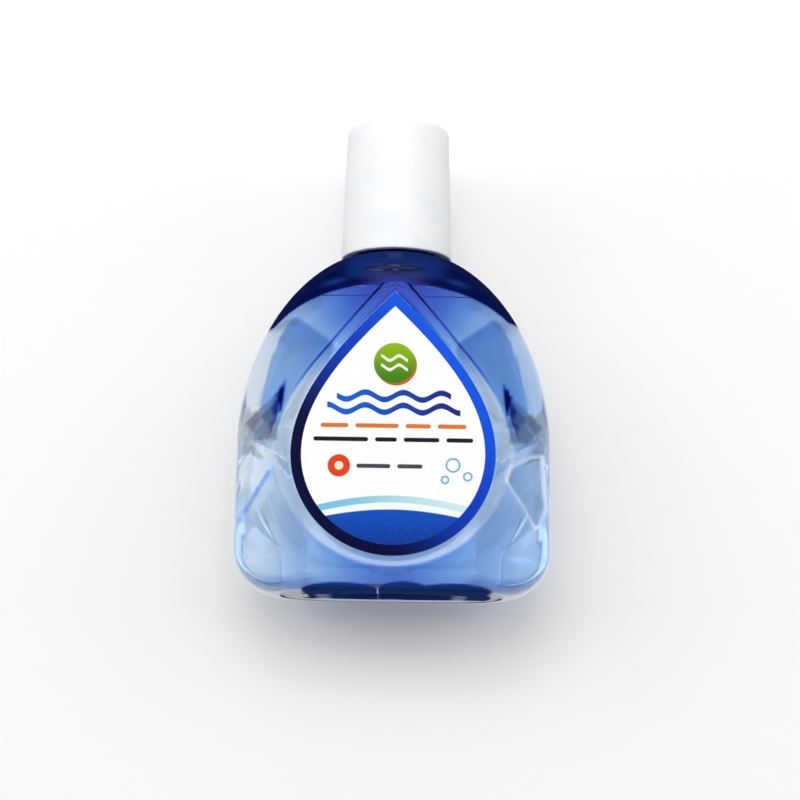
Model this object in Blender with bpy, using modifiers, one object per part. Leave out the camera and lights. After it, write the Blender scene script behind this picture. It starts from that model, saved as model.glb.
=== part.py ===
"""Eye drop bottle: a flat oval 15 ml bottle with a raised drop-shaped panel on its front and back.

Lengths are in metres and +Z is up. The bottle stands on its foot at z = 0, its front label faces -Y, and
the neck, the dropper plug and the cap share the Z axis. The cap is shown screwed on.
"""

import math
from collections import namedtuple

import bmesh
import bpy
from mathutils import Vector

# Body shell, measured over the outside.
BODY_WIDTH = 0.0376
BODY_DEPTH = 0.0192
SIDE_CORNER = 0.0054
FACE_CORNER = 0.0024
SIDE_CURVE_LEVEL = 0.0170
FACE_CURVE_LEVEL = 0.0323
SHOULDER_TOP = 0.0408
SHOULDER_WIDTH = 0.0145
SHOULDER_DEPTH = 0.0082
WALL = 0.0008
SHOULDER_WALL = 0.0020
FLOOR = 0.0018
SQUARENESS = 3.3
ROUNDNESS = 2.0

# Hollow under the foot, which leaves a standing rim.
PUSH_UP_WIDTH = 0.0170
PUSH_UP_DEPTH = 0.0076
PUSH_UP_RISE = 0.0010

# Drop-shaped panels, which stand proud of the front and the back.
PANEL_PROUD = 0.0009
PANEL_RADIUS = 0.0124
PANEL_TIP_RISE = 0.0197
PANEL_CENTRE_LEVEL = 0.0155
PANEL_EDGE_ROUND = 0.0004
PANEL_ROOT = 0.0045
PANEL_DRAFT = math.radians(16)
TIP_ANGLE = math.radians(46)
TIP_HANDLE_SHARE = 0.42
SIDE_HANDLE_SHARE = 0.37

# Labels, which lie on the panels.
LABEL_MARGIN = 0.0006
LABEL_THICKNESS = 0.00015
LABEL_GAP = 0.00005

# Neck, with the ring that the cap comes down to.
RING_RADIUS = 0.0063
RING_HEIGHT = 0.0014
RING_FLARE = 0.0006
NECK_RADIUS = 0.00475
NECK_BORE_RADIUS = 0.0038
NECK_HEIGHT = 0.0092
THREAD_PITCH = 0.0026
THREAD_TURNS = 1.6
NECK_THREAD_DEPTH = 0.0005
THREAD_START = 0.0022

# Cap.
CAP_RIM_RADIUS = 0.00675
CAP_TOP_RADIUS = 0.00625
CAP_HEIGHT = 0.0169
CAP_WALL = 0.0009
CAP_TOP_WALL = 0.0013
CAP_EDGE_ROUND = 0.0010
RIM_GAP = 0.0003
CAP_THREAD_GAP = 0.00015

# Dropper plug, pressed into the neck.
PLUG_GAP = 0.00015
PLUG_SKIRT_LENGTH = 0.0052
PLUG_WALL = 0.0008
FLANGE_RADIUS = 0.0046
FLANGE_THICKNESS = 0.0009
NOZZLE_ROOT_RADIUS = 0.0027
NOZZLE_TIP_RADIUS = 0.0014
NOZZLE_HEIGHT = 0.0048
ORIFICE_RADIUS = 0.00035
ORIFICE_LENGTH = 0.0012
DRIP_CUP_RADIUS = 0.0009
DRIP_CUP_DEPTH = 0.0006
SEAL_GAP = 0.0002

# Fill. It lies as it does with the bottle on its back, so the air is under the front panel.
FILL_GAP = 0.0003

# Fineness of the meshes, and how far a cutter runs past what it cuts.
OUTER_POINTS = 72
INNER_POINTS = 48
TURN_STEPS = 40
DOME_ROWS = 12
CORNER_ROWS = 5
SIDE_ROWS = 2
SHOULDER_ROWS = 13
DROP_POINTS = 15
ROUND_ROWS = 4
THREAD_POINTS_PER_TURN = 20
OVERRUN = 0.004
BLOCK = 0.030
WELD = 0.000001

SIDE_CURVE_RISE = (SHOULDER_TOP - SIDE_CURVE_LEVEL) / math.sqrt(1 - (SHOULDER_WIDTH / BODY_WIDTH) ** 2)
FACE_CURVE_RISE = (SHOULDER_TOP - FACE_CURVE_LEVEL) / math.sqrt(1 - (SHOULDER_DEPTH / BODY_DEPTH) ** 2)
PANEL_FACE = BODY_DEPTH / 2 + PANEL_PROUD
RIM_LEVEL = SHOULDER_TOP + RIM_GAP
NECK_TOP = SHOULDER_TOP + NECK_HEIGHT
CAP_TOP = RIM_LEVEL + CAP_HEIGHT
NOZZLE_TIP = NECK_TOP + PLUG_GAP + FLANGE_THICKNESS + NOZZLE_HEIGHT

# A skin of the body lies inside its outer surface by one amount on its walls, another at its foot and another
# at its shoulder, where the plastic is thickest.
Skin = namedtuple("Skin", "inset floor shoulder")
OUTSIDE = Skin(0.0, 0.0, 0.0)
INSIDE = Skin(WALL, FLOOR, SHOULDER_WALL)
LIQUID = Skin(WALL + FILL_GAP, FLOOR + FILL_GAP, SHOULDER_WALL + FILL_GAP)

# A facet is a flat cut on each quarter of the body. Its point is given as shares of the half width, the half
# depth and the shoulder height, and its facing as a turn to the side and a tip upwards, in degrees.
Facet = namedtuple("Facet", "point_shares turn tip")
BROW_FACET = Facet((0.654, 0.677, 0.801), 14.5, 17.1)
CHEEK_FACET = Facet((0.654, 0.677, 0.801), 19.0, 11.5)
KITE_FACET = Facet((0.862, 0.738, 0.400), 29.1, -1.8)
WAIST_UPPER_FACET = Facet((0.729, 0.800, 0.392), 24.1, -8.7)
WAIST_LOWER_FACET = Facet((0.729, 0.800, 0.392), 6.7, 19.8)


def clear_scene():
    """Remove whatever the scene holds."""
    for obj in list(bpy.data.objects):
        bpy.data.objects.remove(obj, do_unlink=True)


def new_collection(name):
    """Make a collection in the scene."""
    collection = bpy.data.collections.new(name)
    bpy.context.scene.collection.children.link(collection)
    return collection


def new_material(name, colour, roughness, transmission=0.0, ior=1.5):
    """Make a plastic, paper or liquid material."""
    material = bpy.data.materials.new(name)
    material.use_nodes = True
    shader = material.node_tree.nodes["Principled BSDF"]
    shader.inputs["Base Color"].default_value = (*colour, 1.0)
    shader.inputs["Roughness"].default_value = roughness
    shader.inputs["Metallic"].default_value = 0.0
    shader.inputs["Transmission Weight"].default_value = transmission
    shader.inputs["IOR"].default_value = ior
    return material


def object_from(name, bm, collection):
    """Turn a bmesh into an object."""
    bmesh.ops.recalc_face_normals(bm, faces=bm.faces)
    mesh = bpy.data.meshes.new(name)
    bm.to_mesh(mesh)
    bm.free()
    obj = bpy.data.objects.new(name, mesh)
    collection.objects.link(obj)
    return obj


def bake(obj):
    """Replace an object's mesh by what its modifiers make of it, with doubled points welded."""
    bpy.context.view_layer.update()
    graph = bpy.context.evaluated_depsgraph_get()
    mesh = bpy.data.meshes.new_from_object(obj.evaluated_get(graph), depsgraph=graph)
    bm = bmesh.new()
    bm.from_mesh(mesh)
    bmesh.ops.remove_doubles(bm, verts=bm.verts, dist=WELD)
    bm.to_mesh(mesh)
    bm.free()
    obj.modifiers.clear()
    obj.data = mesh


def as_helper(obj):
    """Mark an object that only shapes others."""
    obj.hide_render = True
    obj.display_type = "WIRE"
    return obj


def boolean(obj, other, operation):
    """Add an exact Boolean of another object."""
    modifier = obj.modifiers.new(f"{operation.lower()} {other.name}", "BOOLEAN")
    modifier.operation = operation
    modifier.solver = "EXACT"
    modifier.object = other


def loft(name, rings, collection):
    """Skin a row of rings, each with as many points, and close both ends."""
    bm = bmesh.new()
    rows = [[bm.verts.new(point) for point in ring] for ring in rings]
    for low, high in zip(rows, rows[1:]):
        for i in range(len(low)):
            j = (i + 1) % len(low)
            bm.faces.new((low[i], low[j], high[j], high[i]))
    bm.faces.new(reversed(rows[0]))
    bm.faces.new(rows[-1])
    return object_from(name, bm, collection)


def turned(name, profile, collection):
    """Turn a profile of (radius, height) points about the Z axis."""
    bm = bmesh.new()
    points = [bm.verts.new((radius, 0.0, height)) for radius, height in profile]
    for a, b in zip(points, points[1:]):
        bm.edges.new((a, b))
    mesh = bpy.data.meshes.new(name)
    bm.to_mesh(mesh)
    bm.free()
    obj = bpy.data.objects.new(name, mesh)
    collection.objects.link(obj)
    screw = obj.modifiers.new("turn", "SCREW")
    screw.steps = TURN_STEPS
    screw.render_steps = TURN_STEPS
    screw.use_merge_vertices = True
    screw.merge_threshold = WELD
    bake(obj)
    return obj


def arc(centre, radius, start, end, steps):
    """Points on a round corner, in (radius, height) terms, from one angle in degrees to another."""
    angles = [math.radians(start + (end - start) * k / steps) for k in range(steps + 1)]
    return [(centre[0] + radius * math.cos(a), centre[1] + radius * math.sin(a)) for a in angles]


def half_width(z, skin):
    """Half width of a skin of the body at a height."""
    half = BODY_WIDTH / 2 - skin.inset
    if z < SIDE_CORNER:
        drop = (SIDE_CORNER - z) / (SIDE_CORNER - skin.floor)
        return half - (SIDE_CORNER - skin.inset) * (1 - math.sqrt(max(0.0, 1 - drop**2)))
    if z < SIDE_CURVE_LEVEL:
        return half
    return half * math.sqrt(1 - ((z - SIDE_CURVE_LEVEL) / (SIDE_CURVE_RISE - skin.shoulder)) ** 2)


def half_depth(z, skin):
    """Half depth of a skin of the body at a height."""
    half = BODY_DEPTH / 2 - skin.inset
    if z < FACE_CORNER:
        drop = (FACE_CORNER - z) / (FACE_CORNER - skin.floor)
        return half - (FACE_CORNER - skin.inset) * (1 - math.sqrt(max(0.0, 1 - drop**2)))
    if z < FACE_CURVE_LEVEL:
        return half
    return half * math.sqrt(1 - ((z - FACE_CURVE_LEVEL) / (FACE_CURVE_RISE - skin.shoulder)) ** 2)


def squareness(z):
    """How square a level of the body is: a squarish oval low down, a plain ellipse at the neck."""
    rise = min(max((z - SIDE_CURVE_LEVEL) / (SHOULDER_TOP - SIDE_CURVE_LEVEL), 0.0), 1.0)
    return SQUARENESS + (ROUNDNESS - SQUARENESS) * rise


def level_ring(z, skin):
    """Points round one level of a skin of the body, fewer of them on its inner faces."""
    power = 2 / squareness(z)
    count = OUTER_POINTS if skin is OUTSIDE else INNER_POINTS
    ring = []
    for k in range(count):
        angle = 2 * math.pi * k / count
        c = math.cos(angle)
        s = math.sin(angle)
        x = half_width(z, skin) * math.copysign(abs(c) ** power, c)
        y = half_depth(z, skin) * math.copysign(abs(s) ** power, s)
        ring.append((x, y, z))
    return ring


def body_levels(skin):
    """Heights of a skin's rings, from the foot to the top of the shoulder."""
    corner = [math.pi / 2 * k / CORNER_ROWS for k in range(CORNER_ROWS)]
    levels = [SIDE_CORNER - (SIDE_CORNER - skin.floor) * math.cos(a) for a in corner]
    step = (SIDE_CURVE_LEVEL - SIDE_CORNER) / SIDE_ROWS
    levels += [SIDE_CORNER + step * k for k in range(SIDE_ROWS)]
    rise = SIDE_CURVE_RISE - skin.shoulder
    top = math.asin((SHOULDER_TOP - skin.shoulder - SIDE_CURVE_LEVEL) / rise)
    levels += [SIDE_CURVE_LEVEL + rise * math.sin(top * k / SHOULDER_ROWS) for k in range(SHOULDER_ROWS + 1)]
    return levels


def facet_cutter(facet, inset, collection):
    """A block that lies on the outer side of a facet's plane."""
    turn = math.radians(facet.turn)
    tip = math.radians(facet.tip)
    facing = Vector((math.sin(turn) * math.cos(tip), -math.cos(turn) * math.cos(tip), math.sin(tip)))
    x, y, z = facet.point_shares
    point = Vector((x * BODY_WIDTH / 2, -y * BODY_DEPTH / 2, z * SHOULDER_TOP))
    bm = bmesh.new()
    bmesh.ops.create_cube(bm, size=BLOCK)
    cutter = as_helper(object_from("facet cutter", bm, collection))
    cutter.rotation_euler = facing.to_track_quat("Z", "Y").to_euler()
    cutter.location = point + facing * (BLOCK / 2 - inset)
    return cutter


def body_form(name, skin, collection, helpers):
    """A skin of the body without panels and neck: an oval loft with the same facets on all four quarters."""
    form = loft(name, [level_ring(z, skin) for z in body_levels(skin)], collection)
    for facet in (BROW_FACET, CHEEK_FACET, KITE_FACET):
        boolean(form, facet_cutter(facet, skin.inset, helpers), "DIFFERENCE")
    notch = facet_cutter(WAIST_UPPER_FACET, skin.inset, helpers)
    boolean(notch, facet_cutter(WAIST_LOWER_FACET, skin.inset, helpers), "INTERSECT")
    boolean(form, notch, "DIFFERENCE")
    mirror = form.modifiers.new("four quarters", "MIRROR")
    mirror.use_axis = (True, True, False)
    mirror.use_bisect_axis = (True, True, False)
    mirror.use_bisect_flip_axis = (False, True, False)
    mirror.merge_threshold = WELD
    mirror.bisect_threshold = WELD
    bake(form)
    return form


def drop_side(radius, tip_rise):
    """Points down the right side of a drop, from its tip to where its round foot starts."""
    tip = Vector((0.0, tip_rise))
    handle_1 = tip + TIP_HANDLE_SHARE * tip_rise * Vector((math.sin(TIP_ANGLE), -math.cos(TIP_ANGLE)))
    end = Vector((radius, 0.0))
    handle_2 = end + Vector((0.0, SIDE_HANDLE_SHARE * tip_rise))
    points = []
    for k in range(DROP_POINTS):
        t = k / DROP_POINTS
        u = 1 - t
        points.append(u**3 * tip + 3 * u * u * t * handle_1 + 3 * u * t * t * handle_2 + t**3 * end)
    return points


def drop_outline(radius, tip_rise):
    """Points (x, z) round a drop, with z counted from the centre of its round foot."""
    side = drop_side(radius, tip_rise)
    foot = [math.pi * k / (2 * DROP_POINTS) for k in range(2 * DROP_POINTS + 1)]
    outline = side + [Vector((radius * math.cos(a), -radius * math.sin(a))) for a in foot]
    return outline + [Vector((-p.x, p.y)) for p in reversed(side[1:])]


def drop_ring(depth, growth, front, radius, tip_rise):
    """A drop outline set at a depth in front of (or behind) the axis, grown all round."""
    grown = (radius + growth) / radius
    side = -1 if front else 1
    outline = drop_outline(radius * grown, tip_rise * grown)
    return [(p.x, side * depth, PANEL_CENTRE_LEVEL + p.y) for p in outline]


def panel_form(name, inset, front, collection):
    """A raised panel: a drop-shaped plug with drafted sides and a rounded edge."""
    face = PANEL_FACE - inset
    radius = PANEL_RADIUS - inset
    tip_rise = PANEL_TIP_RISE - inset
    rings = []
    for k in range(ROUND_ROWS + 1):
        angle = math.pi / 2 * k / ROUND_ROWS
        depth = face - PANEL_EDGE_ROUND * (1 - math.cos(angle))
        rings.append(drop_ring(depth, PANEL_EDGE_ROUND * (math.sin(angle) - 1), front, radius, tip_rise))
    spread = (PANEL_ROOT - PANEL_EDGE_ROUND) * math.tan(PANEL_DRAFT)
    rings.append(drop_ring(face - PANEL_ROOT, spread, front, radius, tip_rise))
    return loft(name, rings, collection)


def mesh_from_curve(name, curve, collection):
    """Turn a curve into a mesh object, with its caps welded on."""
    shape = bpy.data.objects.new(f"{name} curve", curve)
    collection.objects.link(shape)
    bpy.context.view_layer.update()
    graph = bpy.context.evaluated_depsgraph_get()
    mesh = bpy.data.meshes.new_from_object(shape.evaluated_get(graph), depsgraph=graph)
    bm = bmesh.new()
    bm.from_mesh(mesh)
    bmesh.ops.remove_doubles(bm, verts=bm.verts, dist=WELD)
    obj = object_from(name, bm, collection)
    obj.matrix_world = shape.matrix_world
    bpy.data.objects.remove(shape)
    bpy.data.meshes.remove(mesh)
    return obj


def helix(name, radius, depth, start, collection):
    """A thread ridge: a round rod on a helix, whose ends run out."""
    count = round(THREAD_TURNS * THREAD_POINTS_PER_TURN)
    curve = bpy.data.curves.new(name, "CURVE")
    curve.dimensions = "3D"
    curve.bevel_depth = depth
    curve.bevel_resolution = 2
    curve.use_fill_caps = True
    spline = curve.splines.new("POLY")
    spline.points.add(count)
    for k, point in enumerate(spline.points):
        angle = 2 * math.pi * k / THREAD_POINTS_PER_TURN
        height = start + THREAD_PITCH * k / THREAD_POINTS_PER_TURN
        point.co = (radius * math.cos(angle), radius * math.sin(angle), height, 1.0)
    return mesh_from_curve(name, curve, collection)


def build_body(parts, helpers):
    """The blow-moulded bottle: faceted shell, two panels, threaded neck and hollow foot."""
    body = body_form("bottle_body", OUTSIDE, parts, helpers)
    cavity = as_helper(body_form("cavity", INSIDE, helpers, helpers))
    for front in (True, False):
        boolean(body, as_helper(panel_form("panel", OUTSIDE.inset, front, helpers)), "UNION")
        boolean(cavity, as_helper(panel_form("panel hollow", INSIDE.inset, front, helpers)), "UNION")
    flare_level = SHOULDER_TOP - RING_HEIGHT
    neck = turned(
        "neck",
        [
            (0.0, NECK_TOP),
            (NECK_RADIUS, NECK_TOP),
            (NECK_RADIUS, SHOULDER_TOP),
            (RING_RADIUS, SHOULDER_TOP),
            (RING_RADIUS, flare_level),
            (RING_RADIUS + RING_FLARE, flare_level - RING_FLARE),
            (NECK_RADIUS, flare_level - OVERRUN),
            (0.0, flare_level - OVERRUN),
        ],
        helpers,
    )
    boolean(body, as_helper(neck), "UNION")
    ridge = helix("neck thread", NECK_RADIUS, NECK_THREAD_DEPTH, SHOULDER_TOP + THREAD_START, helpers)
    boolean(body, as_helper(ridge), "UNION")
    bore = turned(
        "neck bore",
        [
            (0.0, NECK_TOP + OVERRUN),
            (NECK_BORE_RADIUS, NECK_TOP + OVERRUN),
            (NECK_BORE_RADIUS, SHOULDER_TOP - OVERRUN),
            (0.0, SHOULDER_TOP - OVERRUN),
        ],
        helpers,
    )
    boolean(cavity, as_helper(bore), "UNION")
    bake(cavity)
    bake(body)
    boolean(body, cavity, "DIFFERENCE")
    bm = bmesh.new()
    bmesh.ops.create_uvsphere(bm, u_segments=TURN_STEPS, v_segments=DOME_ROWS, radius=0.5)
    push_up = as_helper(object_from("push-up", bm, helpers))
    push_up.scale = (PUSH_UP_WIDTH, PUSH_UP_DEPTH, 2 * PUSH_UP_RISE)
    boolean(body, push_up, "DIFFERENCE")
    bake(body)
    return body


def build_fill(parts, helpers):
    """The liquid: the inside of the bottle less a gap, without the hollow of the front panel."""
    fill = body_form("liquid_fill", LIQUID, parts, helpers)
    boolean(fill, as_helper(panel_form("fill panel", LIQUID.inset, False, helpers)), "UNION")
    radius = NECK_BORE_RADIUS - FILL_GAP
    top = NECK_TOP - PLUG_SKIRT_LENGTH - FILL_GAP
    column = turned(
        "fill column",
        [(0.0, top), (radius, top), (radius, SHOULDER_TOP - OVERRUN), (0.0, SHOULDER_TOP - OVERRUN)],
        helpers,
    )
    boolean(fill, as_helper(column), "UNION")
    bake(fill)
    return fill


def build_plug(parts):
    """The dropper plug: a hollow skirt in the neck, a flange on its mouth and a nozzle with a fine orifice."""
    skirt = NECK_BORE_RADIUS - PLUG_GAP
    bore = skirt - PLUG_WALL
    seat = NECK_TOP + PLUG_GAP
    flange_top = seat + FLANGE_THICKNESS
    cup_floor = NOZZLE_TIP - DRIP_CUP_DEPTH
    profile = [
        (ORIFICE_RADIUS, cup_floor),
        (DRIP_CUP_RADIUS, NOZZLE_TIP),
        (NOZZLE_TIP_RADIUS - PLUG_GAP, NOZZLE_TIP),
        (NOZZLE_TIP_RADIUS, NOZZLE_TIP - PLUG_GAP),
        (NOZZLE_ROOT_RADIUS, flange_top + PLUG_WALL),
        (NOZZLE_ROOT_RADIUS + PLUG_WALL / 2, flange_top),
        (FLANGE_RADIUS, flange_top),
        (FLANGE_RADIUS, seat),
        (skirt, seat),
        (skirt, NECK_TOP - PLUG_SKIRT_LENGTH),
        (bore, NECK_TOP - PLUG_SKIRT_LENGTH),
        (bore, seat),
        (NOZZLE_ROOT_RADIUS - PLUG_WALL, flange_top + PLUG_WALL),
        (ORIFICE_RADIUS, cup_floor - ORIFICE_LENGTH),
        (ORIFICE_RADIUS, cup_floor),
    ]
    return turned("dropper_plug", profile, parts)


def build_cap(parts, helpers):
    """The screw cap: a plain tapered cup with a thread inside and a nib that seals the orifice."""
    inner_top = CAP_TOP - CAP_TOP_WALL
    slope = (CAP_RIM_RADIUS - CAP_TOP_RADIUS) / CAP_HEIGHT
    inner_rim = CAP_RIM_RADIUS - CAP_WALL
    inner_roof = inner_rim - slope * (inner_top - RIM_LEVEL)
    edge = arc((CAP_TOP_RADIUS - CAP_EDGE_ROUND, CAP_TOP - CAP_EDGE_ROUND), CAP_EDGE_ROUND, 90, 0, ROUND_ROWS * 2)
    nib_tip = NOZZLE_TIP - DRIP_CUP_DEPTH + SEAL_GAP
    nib_root = DRIP_CUP_RADIUS - SEAL_GAP
    profile = [
        (0.0, CAP_TOP),
        *edge,
        (CAP_RIM_RADIUS, RIM_LEVEL),
        (inner_rim, RIM_LEVEL),
        (inner_roof, inner_top),
        (NOZZLE_TIP_RADIUS, inner_top),
        (nib_root, NOZZLE_TIP + SEAL_GAP),
        (ORIFICE_RADIUS / 2, nib_tip),
        (0.0, nib_tip),
    ]
    cap = turned("cap", profile, parts)
    crest = NECK_RADIUS + NECK_THREAD_DEPTH + CAP_THREAD_GAP
    depth = inner_rim - crest
    start = SHOULDER_TOP + THREAD_START + THREAD_PITCH / 2
    ridge = helix("cap thread", inner_rim, depth, start, helpers)
    boolean(cap, as_helper(ridge), "UNION")
    bake(cap)
    return cap


def build_label(name, front, parts):
    """A drop-shaped label that lies on a panel: a filled flat outline, stood upright."""
    outline = drop_outline(PANEL_RADIUS - LABEL_MARGIN, PANEL_TIP_RISE - LABEL_MARGIN)
    curve = bpy.data.curves.new(name, "CURVE")
    curve.dimensions = "2D"
    curve.fill_mode = "BOTH"
    curve.extrude = LABEL_THICKNESS / 2
    spline = curve.splines.new("POLY")
    spline.points.add(len(outline) - 1)
    spline.use_cyclic_u = True
    for place, point in zip(spline.points, outline):
        place.co = (point.x, point.y, 0.0, 1.0)
    sheet = mesh_from_curve(name, curve, parts)
    side = -1 if front else 1
    middle = PANEL_FACE + LABEL_GAP + LABEL_THICKNESS / 2
    sheet.rotation_euler = (math.pi / 2, 0.0, 0.0)
    sheet.location = (0.0, side * middle, PANEL_CENTRE_LEVEL)
    return sheet


def smooth(obj, angle):
    """Shade an object smooth, with its sharper edges and its flat facets kept."""
    obj.data.shade_smooth()
    obj.data.set_sharp_from_angle(angle=math.radians(angle))
    normals = obj.modifiers.new("flat facets", "WEIGHTED_NORMAL")
    normals.keep_sharp = True
    normals.weight = 100


def main():
    """Build every piece of the bottle."""
    clear_scene()
    parts = new_collection("eye_drop_bottle")
    helpers = new_collection("cutters")
    body = build_body(parts, helpers)
    fill = build_fill(parts, helpers)
    plug = build_plug(parts)
    cap = build_cap(parts, helpers)
    front_label = build_label("front_label", True, parts)
    rear_label = build_label("rear_label", False, parts)
    body.data.materials.append(new_material("blue clear PET", (0.20, 0.36, 0.78), 0.06, 0.9, 1.57))
    fill.data.materials.append(new_material("clear liquid", (0.90, 0.96, 1.0), 0.0, 1.0, 1.33))
    plug.data.materials.append(new_material("natural LDPE", (0.85, 0.87, 0.88), 0.35, 0.3))
    cap.data.materials.append(new_material("white PP", (0.88, 0.89, 0.90), 0.38))
    front_label.data.materials.append(new_material("front label film", (0.05, 0.22, 0.72), 0.30))
    rear_label.data.materials.append(new_material("rear label film", (0.92, 0.93, 0.92), 0.35))
    for obj in (body, fill, plug, cap, front_label, rear_label):
        smooth(obj, 24)


main()
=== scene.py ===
"""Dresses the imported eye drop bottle: clear blue plastic, clear liquid, printed labels and a white cap.

Lengths are in metres and +Z is up. The bottle stands on its foot, with its front label facing -Y.
"""

import logging
import math
from dataclasses import dataclass, field, replace
from enum import Enum

import bmesh
import bpy
import numpy as np
from mathutils import Matrix, Vector

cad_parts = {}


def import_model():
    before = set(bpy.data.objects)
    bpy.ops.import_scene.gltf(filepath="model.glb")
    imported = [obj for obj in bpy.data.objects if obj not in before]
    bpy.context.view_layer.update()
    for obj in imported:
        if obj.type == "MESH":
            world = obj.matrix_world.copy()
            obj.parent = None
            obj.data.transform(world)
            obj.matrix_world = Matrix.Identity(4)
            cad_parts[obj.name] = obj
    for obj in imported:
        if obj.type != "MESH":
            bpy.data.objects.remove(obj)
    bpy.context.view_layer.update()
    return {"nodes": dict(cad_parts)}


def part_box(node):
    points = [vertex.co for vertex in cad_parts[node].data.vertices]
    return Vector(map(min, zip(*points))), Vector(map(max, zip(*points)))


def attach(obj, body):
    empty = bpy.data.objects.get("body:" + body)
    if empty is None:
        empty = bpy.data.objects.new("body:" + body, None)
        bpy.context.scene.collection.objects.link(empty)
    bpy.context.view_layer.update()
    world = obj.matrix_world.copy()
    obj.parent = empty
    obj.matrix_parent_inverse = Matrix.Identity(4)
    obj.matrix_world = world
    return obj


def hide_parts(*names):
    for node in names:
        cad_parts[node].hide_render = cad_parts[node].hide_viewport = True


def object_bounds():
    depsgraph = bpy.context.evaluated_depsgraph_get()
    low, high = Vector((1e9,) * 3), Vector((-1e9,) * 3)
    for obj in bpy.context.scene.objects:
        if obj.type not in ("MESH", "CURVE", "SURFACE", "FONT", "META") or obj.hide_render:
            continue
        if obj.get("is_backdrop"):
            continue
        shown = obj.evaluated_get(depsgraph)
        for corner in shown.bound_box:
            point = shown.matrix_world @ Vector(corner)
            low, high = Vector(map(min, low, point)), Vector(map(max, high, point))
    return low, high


LOG = logging.getLogger("eye_drop_bottle")
MM = 0.001
WELD = 0.000001
SHARP_ANGLE = math.radians(50)

Rgb = tuple[float, float, float]
Span = tuple[float, float]
Spans = tuple[Span, ...]
Profile = list[Span]
Array = np.ndarray
Rows = list[Array]
Socket = bpy.types.NodeSocket


class Face(Enum):
    """The two broad faces of the bottle, by the sign of their side of the Y axis."""

    FRONT = -1
    REAR = 1


def linear(red: float, green: float, blue: float) -> Rgb:
    """Turn a screen colour into the linear colour that shaders take.

    Args:
        red: Red, from 0 to 255.
        green: Green, from 0 to 255.
        blue: Blue, from 0 to 255.

    Returns:
        The linear colour, each part from 0 to 1.
    """
    parts = []
    for value in (red, green, blue):
        share = value / 255
        parts.append(share / 12.92 if share <= 0.04045 else ((share + 0.055) / 1.055) ** 2.4)
    return parts[0], parts[1], parts[2]


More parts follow.
